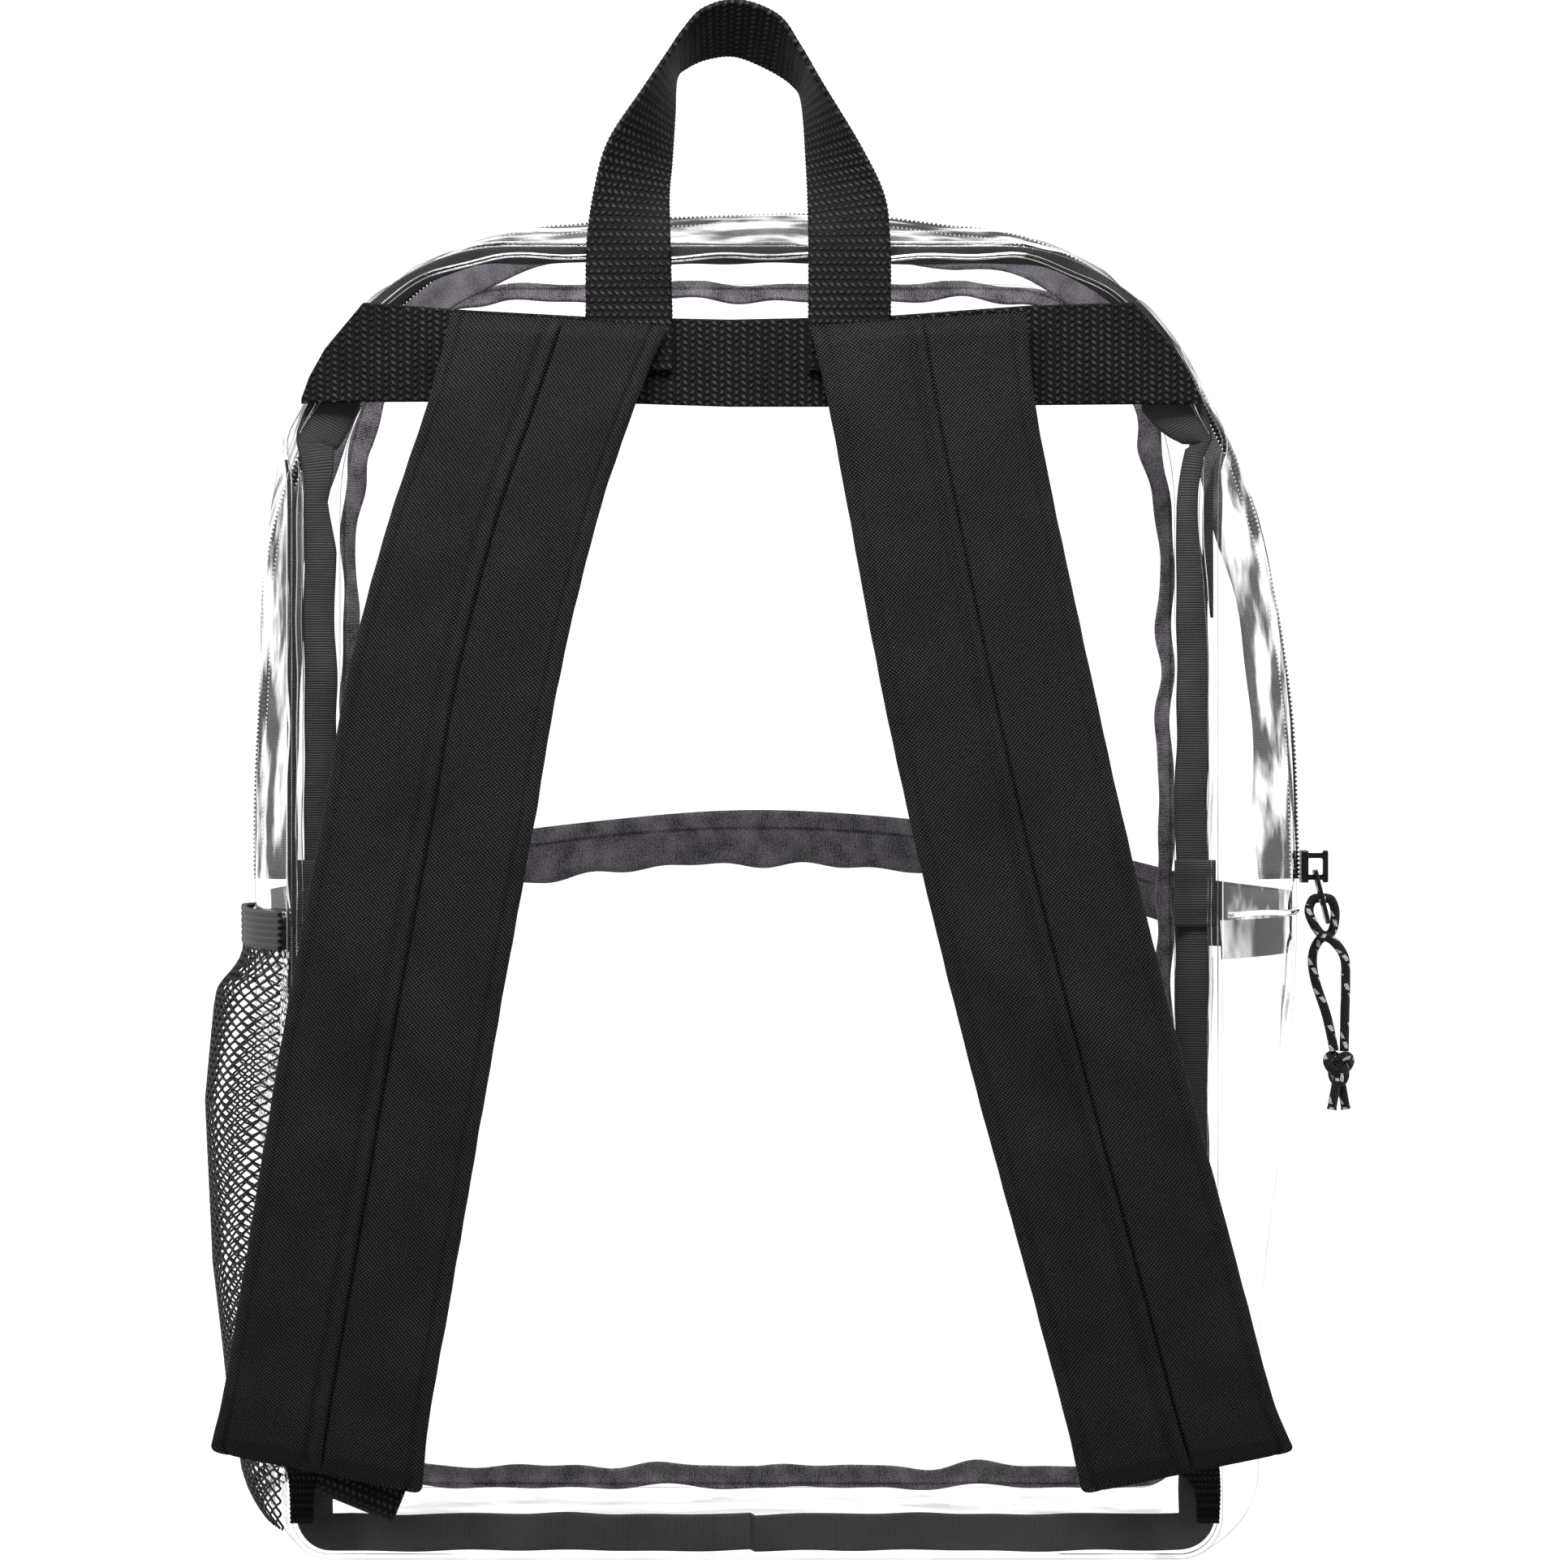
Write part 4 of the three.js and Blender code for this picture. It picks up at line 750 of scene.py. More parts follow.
upper = np.arange(SEAM_PLACE, RING - SEAM_PLACE + 1)
lower = np.r_[np.arange(RING - SEAM_PLACE, RING), np.arange(0, SEAM_PLACE + 1)]
back_of_zip = np.linspace(-SHEET_EDGE, RIDGE_Y - SLOT / 2, 30)
front_of_zip = np.linspace(RIDGE_Y + SLOT / 2, SHEET_EDGE, 24)
whole_depth = np.linspace(-SHEET_EDGE, SHEET_EDGE, 44)
gusset_mesh("gusset_back_sheet", "gusset_back", upper, back_of_zip, 3, CLEAR_LOOSE)
gusset_mesh("gusset_front_sheet", "gusset_front", upper, front_of_zip, 3, CLEAR_LOOSE)
gusset_mesh("gusset_lower_sheet", "gusset_lower", lower, whole_depth, 9, CLEAR_CALM)


def fold_mesh(name, line, y, radius):
    """The sheet's rounded fold along a seam."""
    path = at_depth(line, y)
    path = np.concatenate([path, path[:1]])
    return tube_mesh(name, path, radius, 8, CLEAR, cap=False)


def shrink(line, distance):
    """A line moved into the bag by a distance."""
    along = unit(np.roll(line, -1, 0) - np.roll(line, 1, 0))
    inward = np.stack([-along[:, 1], along[:, 0]], 1)
    return line + inward * np.asarray(distance).reshape(-1, 1)


fold_mesh("fold_back", shrink(BACK, 0.9), -69.3, 1.0)
fold_mesh("fold_front", shrink(FRONT, 0.9), 69.3, 1.0)

# Front pocket

POCKET_MIDDLE_Z = 231.0
POCKET_SIDE_Z = 209.0


def pocket_seam(across):
    return POCKET_MIDDLE_Z + (POCKET_SIDE_Z - POCKET_MIDDLE_Z) * across**2


def front_half_width(z):
    corner_width, corner_height = FRONT_CORNER
    corner_z = FRONT_HEIGHT - corner_height
    below = np.clip(SEAM_FOOT - z, 0, SEAM_FOOT)
    foot = FRONT_HALF_WIDTH - SEAM_FOOT + np.sqrt(np.clip(SEAM_FOOT**2 - below**2, 0, None))
    rise = np.clip((z - corner_z) / corner_height, 0, 1)
    top = FRONT_HALF_WIDTH - corner_width + corner_width * np.sqrt(1 - rise**2)
    return np.where(z < SEAM_FOOT, foot, np.where(z > corner_z, top, FRONT_HALF_WIDTH))


def front_face(across, z, forward):
    x = across * front_half_width(z)
    bulge = FRONT_BULGE * (1 - across**2)
    y = FRONT_Y + bulge * np.sin(math.pi * np.clip(z / FRONT_HEIGHT, 0, 1)) + forward
    return np.stack([x, y, z], -1)


def front_strip(name, node, low_at, high_at, forward, thickness, material, columns):
    """A strip of the pocket's zip on the front panel."""
    across = np.linspace(-1, 1, 260)[:, None]
    share = np.linspace(0, 1, columns)
    low_z = pocket_seam(across) + low_at(across * FRONT_HALF_WIDTH)
    high_z = pocket_seam(across) + high_at(across * FRONT_HALF_WIDTH)
    z = low_z + (high_z - low_z) * share
    a = across + 0 * share
    grid = front_face(a, z, forward)
    uv = np.stack([z - pocket_seam(across), a * FRONT_HALF_WIDTH], 2)
    ob = slab_mesh(name, grid, thickness, material, uv)
    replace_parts(ob, node)


def level(value):
    return lambda x: np.full_like(x, value)


def tape_low(x):
    return -9.5 + waves(x, 21, (38, 67, 25), 1.8)


def tape_high(x):
    return 9.5 + waves(x, 22, (90, 140), 0.6)


front_strip("pocket_tape", "pocket_zip_tape", tape_low, tape_high, 0.7, 0.8, FAR_BINDING_PAINTED_HAZE, 10)
front_strip("pocket_coil", "pocket_zip_coil", level(-2.5), level(2.5), 2.3, 1.8, COIL, 6)

across = np.linspace(-1, 1, 90)[:, None]
share = np.linspace(0, 1, 60)
top_z = pocket_seam(across) - 2.8
z = 1 + (top_z - 1) * share
swell = 13 * np.clip(1 - across**4, 0, 1) * np.sin(math.pi * np.minimum(1, share * 0.9 + 0.1))
grid = front_face(across + 0 * share, z, 1.9 + swell)
pocket_sheet = sheet_mesh("pocket_sheet", grid, CLEAR)
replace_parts(pocket_sheet, "pocket_panel")

# Bound seam allowances inside the bag


def by_height(line, right, left):
    """A distance read by height from rows for the right and for the left side."""
    z = line[:, 1]
    ends = [np.interp(z, [row[0] for row in rows], [row[1] for row in rows]) for rows in (right, left)]
    return np.where(line[:, 0] > 0, ends[0], ends[1])


# Height and distance from the seam, for the bindings' outer and inner edges.
# The back binding folds over where the band is sewn in.
LOW_OUTER = [(3, 2.7), (22, 2.9)]
TOP_OUTER = [(364, 4.5), (372, 2.5), (395, 1.4)]
TOP_OUTER_LEFT = [(364, 4.0), (372, 2.5), (395, 1.4)]
BACK_TAPE_OUTER = LOW_OUTER + [(40, 4.6), (310, 4.8), (330, 7.6), (345, 8.0), (357, 7.0)] + TOP_OUTER
BACK_TAPE_OUTER_LEFT = LOW_OUTER + [(40, 5.6), (345, 5.6), (357, 5.0)] + TOP_OUTER_LEFT
SIDE_INNER = [(3, 14.2), (30, 13.8), (60, 15.0), (200, 15.2), (340, 14.4), (356, 13.4)]
BEND_INNER = [(360.5, 9.8), (362, 10.0), (367, 14.5), (373.5, 19.0), (379, 21.0), (394, 15.0)]
SIDE_INNER_LEFT = [(3, 14.2), (30, 15.0), (60, 16.4), (325, 15.4), (341, 12.8)]
BEND_INNER_LEFT = [(358, 16.5), (368, 18.0), (379, 18.2), (394, 14.0)]
TOP_INNER = [(405, 8.0), (416, 6.6)]
BACK_TAPE_INNER = SIDE_INNER + BEND_INNER + TOP_INNER
BACK_TAPE_INNER_LEFT = SIDE_INNER_LEFT + BEND_INNER_LEFT + TOP_INNER
FRONT_TAPE_OUTER = [(3, 2.0), (30, 2.4), (330, 2.6), (360, 3.4), (400, 1.6)]
FRONT_TAPE_INNER = [(3, 9.6), (30, 8.4), (250, 7.6), (330, 7.4), (372, 11.0), (395, 8.5), (415, 7.4)]
BACK_BINDING_Y = -67.6
FRONT_BINDING_Y = 67.4
SIDE_BINDING_Y = -67.5
CROSS_REACH = 66.0


def dense(line, count):
    """The same closed line with more points, evenly spaced."""
    closed = np.vstack([line, line[:1]])
    run = run_along(closed)
    at = np.linspace(0, run[-1], count, endpoint=False)
    return np.stack([np.interp(at, run, closed[:, k]) for k in range(2)], 1)


def ring_tape(name, line, y, rows, seed, ripple, material, lean):
    line = dense(line, 900)
    run = ring_length(line)
    together = waves(run, seed + 9, (31, 47, 84), ripple)
    outer = by_height(line, rows[0], rows[1]) + np.maximum(together, -1.0)
    inner = by_height(line, rows[2], rows[3]) + together + waves(run, seed, (23, 37, 61), ripple * 0.7)
    share = np.linspace(0, 1, 11)
    depths = outer[:, None] + (inner - outer)[:, None] * share
    grid = np.stack([shrink(line, depths[:, k]) for k in range(len(share))], 1)
    cup = waves(run, seed + 5, (29, 53), 0.5)[:, None] * share
    arch = lean * 0.35 * np.sin(share * math.pi)
    y_grid = y + lean * share ** 1.5 + lean * 0.5 * cup - arch
    grid = at_depth(grid, y_grid)
    return slab_mesh(name, grid, 1.4, material, uv_grid(depths, run[:, None]), ring=True)


def side_tape(name, places, y, depth, width, seed):
    """The binding's other half, on the gusset's side of the fold."""
    line = BACK[places]
    run = ring_length(BACK)[places]
    share = np.linspace(0, 1, 6)
    ends = smooth(np.minimum(np.abs(run - run[0]), np.abs(run - run[-1])) / 14)
    inward = shrink(BACK, 1.0)[places] - line
    grid = []
    for k in share:
        flat = line + inward * (depth + width * k * ends + waves(run, seed, (37, 61), 0.35))[:, None]
        grid.append(at_depth(flat, y + 1.2 * (1 - k)))
    grid = np.stack(grid, 1)
    uv = uv_grid(depth + width * share, run[:, None])
    return slab_mesh(name, grid, 1.0, BINDING, uv)


low_side = np.flatnonzero((BACK[:, 1] > 26) & (BACK[:, 1] < 357))
right_side = low_side[low_side < HALF]
left_side = low_side[low_side > HALF]
back_rows = (BACK_TAPE_OUTER, BACK_TAPE_OUTER_LEFT, BACK_TAPE_INNER, BACK_TAPE_INNER_LEFT)
back_halves = [
    ring_tape("binding_back_tape", BACK, BACK_BINDING_Y, back_rows, 31, 0.6, BINDING, 1.4),
    side_tape("side_tape_right", right_side[BACK[right_side, 1] > 300], SIDE_BINDING_Y, 3.2, 3.2, 35),
    side_tape("side_tape_left", left_side, SIDE_BINDING_Y, 0.0, 3.0, 36),
]
back_tape = merge(back_halves, "binding_back_tape")
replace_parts(back_tape, "binding_back")
front_rows = (FRONT_TAPE_OUTER, FRONT_TAPE_OUTER, FRONT_TAPE_INNER, FRONT_TAPE_INNER)
front_tape = ring_tape("binding_front_tape", FRONT, FRONT_BINDING_Y, front_rows, 41, 1.5, FAR_BINDING_PAINTED_HAZE, -1.4)
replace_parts(front_tape, "binding_front")


FOLD_POINTS = 240
FOLD_Y = -69.4


def seam_fold(name, places, inset, radius, seed, wander=0.45):
    """A thin roll of clear sheet that runs beside the seam and catches the light."""
    run = ring_length(BACK)[places]
    inward = shrink(BACK, 1.0)[places] - BACK[places]
    flat = BACK[places] + inward * (inset + waves(run, seed, (33, 71), wander))[:, None]
    path = by_length(at_depth(flat, FOLD_Y), FOLD_POINTS)
    count = np.arange(FOLD_POINTS)
    ends = np.minimum(count, count[::-1]) / 12
    tube_mesh(name, path, radius * smooth(ends) + 0.15, 10, CLEAR_FOLD)


top_side = np.flatnonzero(BACK[:, 1] > 362)
right_inset = np.interp(BACK[right_side, 1], [300, 325], [4.3, 7.1])
seam_fold("seam_fold_right", right_side, right_inset, 0.7, 37)
seam_fold("seam_fold_left", left_side, 4.2, 1.1, 38)
seam_fold("seam_fold_top", top_side, 5.0, 0.75, 39, 1.2)


def seam_overlap(side):
    """Where the cross seam's binding is folded round the back seam: a short, slightly wider piece."""
    z = np.linspace(204, 225.5, 24)
    x = side * np.linspace(135.4, 148.6, 16)
    xx, zz = np.meshgrid(x, z)
    y = -69.3 - 0.25 * np.sin(xx / 2.3) + 0.15 * np.sin(zz / 1.7)
    grid = np.stack([xx, y, zz], 2)
    return slab_mesh(f"seam_overlap_{side}", grid, 0.8, BINDING, np.stack([xx, zz], 2))


def cross_binding(name, node, places):
    y = np.linspace(-CROSS_REACH, CROSS_REACH, 60)
    grid = sheet_at(y, -2.4)[0][places]
    uv = uv_grid(RIDGE_RUN[places][:, None], y)
    ob = slab_mesh(name, grid, 1.5, BINDING, uv)
    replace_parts(merge([ob, seam_overlap(1 if node == "binding_right" else -1)], name), node)


def cross_fold(side, place):
    """The clear sheet's rolled edge along a cross seam."""
    y = np.linspace(-CROSS_REACH, CROSS_REACH, 90)
    grid = skin(y)
    normal = normals_of(grid, ring=True)
    path = move(grid, normal, 0.3 * np.sin(y / 7) - 0.9)[place]
    path[:, 2] += 1.5 + 0.4 * np.sin(y / 11)
    tube_mesh(f"cross_fold_{side}", path, 1.1 + 0 * y, 10, CLEAR_FOLD)


cross_fold("right", SEAM_PLACE)
cross_fold("left", RING - SEAM_PLACE)
nearby = np.arange(-2, 3)
cross_binding("cross_right", "binding_right", SEAM_PLACE + nearby)
cross_binding("cross_left", "binding_left", RING - SEAM_PLACE + nearby)

# Main zip

zip_places = np.arange(SEAM_PLACE + 3, RING - SEAM_PLACE - 2)
share = np.linspace(-1, 1, 24)
run = RIDGE_RUN[zip_places]
half_width = ZIP_TAPE_WIDTH / 2 + waves(run, 61, (27, 44, 70), 1.6)
ZIP_REACH = 24


def zip_grid(offsets, depth, droop=None):
    """Points at each zip place, offsets from the zip's line, at a depth under the skin."""
    y = RIDGE_Y + offsets
    flat = np.linspace(RIDGE_Y - ZIP_REACH, RIDGE_Y + ZIP_REACH, 2 * ZIP_REACH + 1)
    grid, normal = sheet_at(flat, depth)
    rows = []
    for i, place in enumerate(zip_places):
        at = np.stack([np.interp(y[i], flat, grid[place, :, k]) for k in range(3)], 1)
        if droop is not None:
            at += normal[place, ZIP_REACH] * droop[i][:, None]
        rows.append(at)
    return np.array(rows)


# The tape's free edge towards the straps sags into the bag, in waves
sag = np.clip(-share, 0, 1) ** 1.15 * 11.5 + np.clip(share, 0, 1) ** 1.5 * 3.0
sag = sag * (1 + waves(run, 63, (52, 83, 120), 0.16)[:, None])
offsets = half_width[:, None] * share
grid = zip_grid(offsets, -1.7, -OUT * sag)
tape = slab_mesh("zip_tape_cloth", grid, 0.8, TAPE, uv_grid(offsets, run[:, None]))
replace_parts(tape, "zip_tape")

coil_line = zip_grid(np.zeros((len(run), 1)), 0.1)[:, 0]
coil_length = np.linalg.norm(np.diff(coil_line, axis=0), axis=1).sum()
teeth = int(coil_length / 1.5)
path = by_length(coil_line, teeth * 4 + 1)
turn = np.arange(len(path)) / 4 * 2 * math.pi
coil = tube_mesh("zip_coil_teeth", path, 1.55 + 0.45 * np.cos(turn), 10, COIL)
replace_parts(coil, "zip_coil")

# Harness


def ribbon_mesh(name, node, left, right, thickness, columns, serration):
    """Webbing between two edge lines, which step in and out a little with its rows."""
    share = np.linspace(0, 1, columns)
    grid = left[:, None] + (right - left)[:, None] * share[None, :, None]
    run = run_along((left + right) / 2)
    width = np.linalg.norm(right - left, axis=1)
    out = (right - left) / width[:, None]
    bite = serration * np.sin(run / 1.45 * 2 * math.pi)[:, None]
    grid[:, 0] -= out * bite
    grid[:, -1] += out * bite
    uv = uv_grid(share * width.mean(), run[:, None])
    ob = slab_mesh(name, grid, thickness, WEBBING, uv)
    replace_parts(ob, node)


# Across, and the top and bottom edge of the band there
BAND_EDGE = [
    (-146.0, 374.0, 372.5),
    (-143.5, 381.0, 372.6),
    (-138.5, 390.0, 372.8),
    (-126.0, 405.0, 373.0),
    (-92.0, 402.5, 373.2),
    (-55.0, 400.5, 373.0),
    (-8.0, 399.5, 371.5),
    (40.0, 400.5, 371.5),
    (88.0, 404.0, 372.0),
    (122.0, 405.0, 372.3),
    (135.0, 390.0, 372.4),
    (141.0, 380.0, 372.5),
    (144.0, 374.0, 372.5),
]
xs = np.linspace(-146, 144, 860)
edge_x, edge_top, edge_bottom = np.array(BAND_EDGE).T
top = np.interp(xs, edge_x, edge_top)
bottom = np.interp(xs, edge_x, edge_bottom)
left = at_depth(np.stack([xs, bottom], 1), BAND_Y + 0.9)
right = at_depth(np.stack([xs, top], 1), BAND_Y + 0.9)
share = np.linspace(0, 1, 40)
grid = left[:, None] + (right - left)[:, None] * share[None, :, None]
uv = np.stack([grid[..., 2] - 372, grid[..., 0]], 2)
band = slab_mesh("band_webbing", grid, 1.6, WEBBING, uv)
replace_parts(band, "back_band")

# Outer edge across and up, inner edge across and up, lean towards the wearer, and twist
HANDLE_EDGES = [
    (-54.5, 383.0, -26.5, 383.0, 0.0, 0.0),
    (-54.4, 402.0, -26.5, 402.0, 0.0, 0.0),
    (-54.0, 425.0, -27.2, 425.0, 0.5, 2.0),
    (-51.0, 443.0, -27.9, 441.0, 1.0, 12.0),
    (-46.5, 457.0, -27.3, 452.0, 2.0, 17.0),
    (-35.5, 473.0, -26.6, 467.5, 3.0, 20.0),
    (-27.6, 484.5, -26.0, 479.6, 3.0, 21.0),
    (-22.5, 492.0, -22.6, 483.4, 3.0, 21.0),
    (-16.0, 498.8, -15.6, 486.2, 3.0, 20.0),
    (-5.2, 501.3, -6.4, 487.0, 3.0, 20.0),
    (7.2, 496.6, 4.2, 482.9, 3.0, 20.0),
    (14.2, 486.8, 12.6, 477.6, 3.0, 21.0),
    (21.4, 474.5, 15.7, 471.6, 3.0, 22.0),
    (33.8, 454.5, 17.0, 452.0, 2.0, 19.0),
    (41.6, 439.0, 17.3, 436.0, 1.0, 9.0),
    (43.6, 424.0, 17.3, 424.0, 0.5, 2.0),
    (43.8, 402.0, 17.2, 402.0, 0.0, 0.0),
    (43.8, 383.0, 17.2, 383.0, 0.0, 0.0),
]
outer_x, outer_z, inner_x, inner_z, lean, twist = catmull(HANDLE_EDGES, 900).T
outer = np.stack([outer_x, HANDLE_Y + 0.9 - lean, outer_z], 1)
inner = np.stack([inner_x, HANDLE_Y + 0.9 - lean + twist, inner_z], 1)
ribbon_mesh("handle_webbing", "carry_handle", outer, inner, 1.7, 24, 0.16)

# Height, left and right pad's middle, slant, bow, thickness and width
PAD_LINE = [
    (399.5, -62.6, 52.4, 4.5, 0.0, 5.0, 69.6),
    (370.0, -72.0, 57.0, 2.0, 1.0, 8.5, 66.0),
    (334.0, -83.5, 63.6, 2.0, 5.0, 9.5, 66.0),
    (286.0, -95.3, 73.0, 3.0, 10.0, 9.5, 67.0),
    (239.0, -103.3, 83.0, 4.0, 14.0, 9.5, 67.0),
    (192.0, -111.8, 94.3, 4.0, 16.0, 9.5, 67.0),
    (149.0, -119.3, 105.3, 4.0, 16.5, 9.5, 67.0),
    (96.0, -128.3, 119.7, 5.0, 15.0, 9.5, 66.5),
    (52.0, -136.0, 131.5, 9.0, 13.0, 9.0, 66.0),
    (31.0, -139.5, 138.0, 14.0, 12.0, 6.0, 69.0),
]
PAD_WIDTH = 67.0
FOOT_CORNER = 2.5


def pad_mesh(side):
    key = "left" if side < 0 else "right"
    z, left_x, right_x, slant, bow, thick, wide = catmull(PAD_LINE, 330).T
    x = left_x if side < 0 else right_x
    y = PAD_BACK_Y - bow - thick / 2
    middle = np.stack([x, y, z], 1)
    run = run_along(middle)
    across = np.stack([wide, 0 * wide, side * slant], 1)
    total = run[-1]
    corner = 1 - np.clip((total - run) / FOOT_CORNER, 0, 1)
    rounded = wide - 2 * FOOT_CORNER * (1 - np.sqrt(1 - corner**2))
    across *= (rounded / np.linalg.norm(across, axis=1))[:, None]
    ends = smooth(np.minimum(run, total - run) / 7)
    grown = 0.35 + 0.65 * ends

    def face(u):
        """How far the face stands out at a share across: a piping with a groove beside it, and two hems."""
        plump = np.clip(1 - np.abs(2 * u) ** 3.2, 0, 1) ** 0.5
        mm = u * PAD_WIDTH
        out = np.abs(mm)
        hem = 0.9 * np.exp(-((out - 29.3) ** 2) / 0.8) - 0.25 * np.exp(-((out - 31.6) ** 2) / 1.5)
        groove = 2.6 * np.exp(-((mm - 1.5) ** 2) / 0.22) + 0.9 * np.exp(-((mm + 3.4) ** 2) / 1.6)
        piping = 1.15 * np.exp(-(((mm + 0.5) / 1.35) ** 4))
        return plump, hem, groove - piping

    coarse = np.sin(np.linspace(-math.pi / 2, math.pi / 2, 60)) * PAD_WIDTH / 2
    finer = ((-0.5, 5.5, 40), (-29.8, 2.8, 13), (29.8, 2.8, 13))
    fine = [centre + np.linspace(-reach, reach, count) for centre, reach, count in finer]
    u = np.unique(np.round(np.concatenate([coarse, *fine]), 2)) / PAD_WIDTH
    plump, hem, groove = face(u)
    edge = np.exp(-(((0.5 - np.abs(u)) * PAD_WIDTH) ** 2) / 60)
    ripple = waves(run[:, None] + 9 * u, 71 + side, (13, 19, 31), 0.42) * edge
    dent = waves(run[:, None] - 30 * u, 75 + side, (64, 97), 0.45) * (1 - edge)
    height = thick[:, None] * 0.5 * plump * grown[:, None]
    height = height - hem - groove * ends[:, None]
    height = height + (ripple + dent) * plump
    jag = waves(run, 78 + side, (14, 23, 41), 0.35)
    stretch = 1 + jag[:, None] * 2 * np.abs(u) / PAD_WIDTH
    base = middle[:, None] + across[:, None] * (u * stretch)[..., None]
    front = base.copy()
    front[..., 1] -= height
    ub = np.sin(np.linspace(math.pi / 2, -math.pi / 2, 18)) * 0.5
    plump_b = np.clip(1 - np.abs(2 * ub) ** 4, 0, 1) ** 0.5
    back = middle[:, None] + across[:, None] * ub[None, :, None]
    back[..., 1] += thick[:, None] * 0.47 * plump_b * grown[:, None]
    grid = np.concatenate([front, back[:, 1:-1]], 1)
    across_mm = np.concatenate([u, ub[1:-1] + 2]) * PAD_WIDTH
    uv = uv_grid(across_mm, run[:, None])
    rows, columns = grid.shape[:2]
    faces = grid_faces(rows, columns, False, True).tolist()
    faces.append(list(range(columns))[::-1])
    faces.append(list(range((rows - 1) * columns, rows * columns)))
    points = grid.reshape(-1, 3)
    ob = mesh_object(f"strap_pad_{key}", points, faces, STRAP, uv.reshape(-1, 2))
    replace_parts(ob, f"strap_{key}")


pad_mesh(-1)
pad_mesh(1)

# Net pocket

# Height, and how far the net stands off the sheet
NET_STANDS = [
    (6.0, 2.0),
    (22.0, 7.0),
    (52.0, 12.0),
    (90.0, 15.5),
    (144.0, 16.0),
    (176.0, 12.0),
    (196.0, 8.0),
]
# The elastic lies close to the vinyl in its back half and gapes in its front half
MOUTH_AT = [-1, -0.5, 0, 0.245, 0.49, 0.74, 1]
MOUTH_GAPE = [0, 0.7, 1.2, 4.5, 8.4, 5.0, 0]
side_places = np.arange(HALF + 60, RING - 8)
NET_HALF = 69.0
NET_COLUMNS = 46
NET_TOP = 196.0
stand_z, stand_off = np.array(NET_STANDS).T
side_y = np.linspace(-NET_HALF, NET_HALF, NET_COLUMNS + 1)
side_skin = skin(side_y)[side_places][::-1]


def net_points(y, z, depth=0.0):
    """Points on the net at depths y and heights z."""
    column = np.clip((y + NET_HALF) / (2 * NET_HALF) * NET_COLUMNS, 0, NET_COLUMNS - 0.001)
    j = column.astype(int)
    t = column - j
    off = np.interp(z, stand_z, stand_off)
    off = off * (1 - np.abs(y / 70) ** 2.5)
    rise = smooth((z - NET_TOP + 16) / 16)
    off = off * (1 - rise) + np.interp(y / 70, MOUTH_AT, MOUTH_GAPE) * rise
    x = np.empty_like(y)
    for k in range(NET_COLUMNS):
        here = j == k
        if here.any():
            a = np.interp(z[here], side_skin[:, k, 2], side_skin[:, k, 0])
            b = np.interp(z[here], side_skin[:, k + 1, 2], side_skin[:, k + 1, 0])
            x[here] = a + (b - a) * t[here]
    return np.stack([x - 0.6 - off - depth, y, z], -1)


STRANDS = 36
STRAND_RADIUS = 0.42
SIDES = 5
strand_angles = np.linspace(0, 2 * math.pi, SIDES, endpoint=False)
net_z = np.linspace(9, 197, 320)
strand_points = []
strand_faces = []
first = 0
pitch_y = 137.0 / STRANDS
for k in range(STRANDS):
    phase = net_z / 4.1 + 0.5 * (k % 2)
    zigzag = np.clip(np.abs((phase % 1) * 2 - 1) * 1.5 - 0.25, 0, 1) - 0.5
    y = -68.5 + pitch_y * (k + 0.5) + zigzag * pitch_y * 0.93
    centre = net_points(y, net_z, 0.5)
    along = unit(np.gradient(centre, axis=0))
    side = unit(np.cross(along, [1.0, 0, 0]))
    up = np.cross(side, along)
    ring = [centre + STRAND_RADIUS * (math.cos(a) * side + math.sin(a) * up) for a in strand_angles]
    points = np.stack(ring, 1).reshape(-1, 3)
    strand_points.append(points)
    strand_faces.extend(grid_faces(len(net_z), SIDES, False, True, first).tolist())
    strand_faces.append([first + i for i in range(SIDES)])
    last = first + (len(net_z) - 1) * SIDES
    strand_faces.append([last + i for i in range(SIDES)][::-1])
    first += len(points)
net = mesh_object("net_strands", np.concatenate(strand_points), strand_faces, NET)
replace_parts(net, "net_panel")

y = np.linspace(-68.3, 68.3, 120)
z = np.linspace(196.2, 209.0, 25)
yy, zz = np.meshgrid(y, z, indexing="ij")
middle = net_points(yy.ravel(), zz.ravel(), 0.7).reshape(*yy.shape, 3)
ribs = 0.7 + 0.6 * np.abs(np.sin((zz - 196.2) / 12.8 * 6 * math.pi))
elastic = slab_mesh("elastic_band", middle, ribs, ELASTIC, np.stack([zz, yy], 2))
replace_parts(elastic, "net_elastic")

# Pieces that keep the CAD's shape


def carry_over(node, name, material, bevel):
    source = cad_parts[node]
    me = source.data.copy()
    me.materials.clear()
    me.materials.append(material)
    ob = bpy.data.objects.new(name, me)
    scene.collection.objects.link(ob)
    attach(ob, "root")
    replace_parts(ob, node)
    weld = ob.modifiers.new("weld", "WELD")
    weld.merge_threshold = 0.00001
    soft = ob.modifiers.new("bevel", "BEVEL")
    soft.width = bevel * MM
    soft.segments = 2
    soft.limit_method = "ANGLE"
    soft.angle_limit = math.radians(35)


carry_over("zip_slider", "slider_body", METAL, 0.5)
carry_over("pull_tab", "tab_plate", METAL, 0.35)
carry_over("pocket_slider", "pocket_slider_body", METAL, 0.4)
carry_over("buckle_left", "ladder_buckle_left", PLASTIC, 0.6)
carry_over("buckle_right", "ladder_buckle_right", PLASTIC, 0.6)


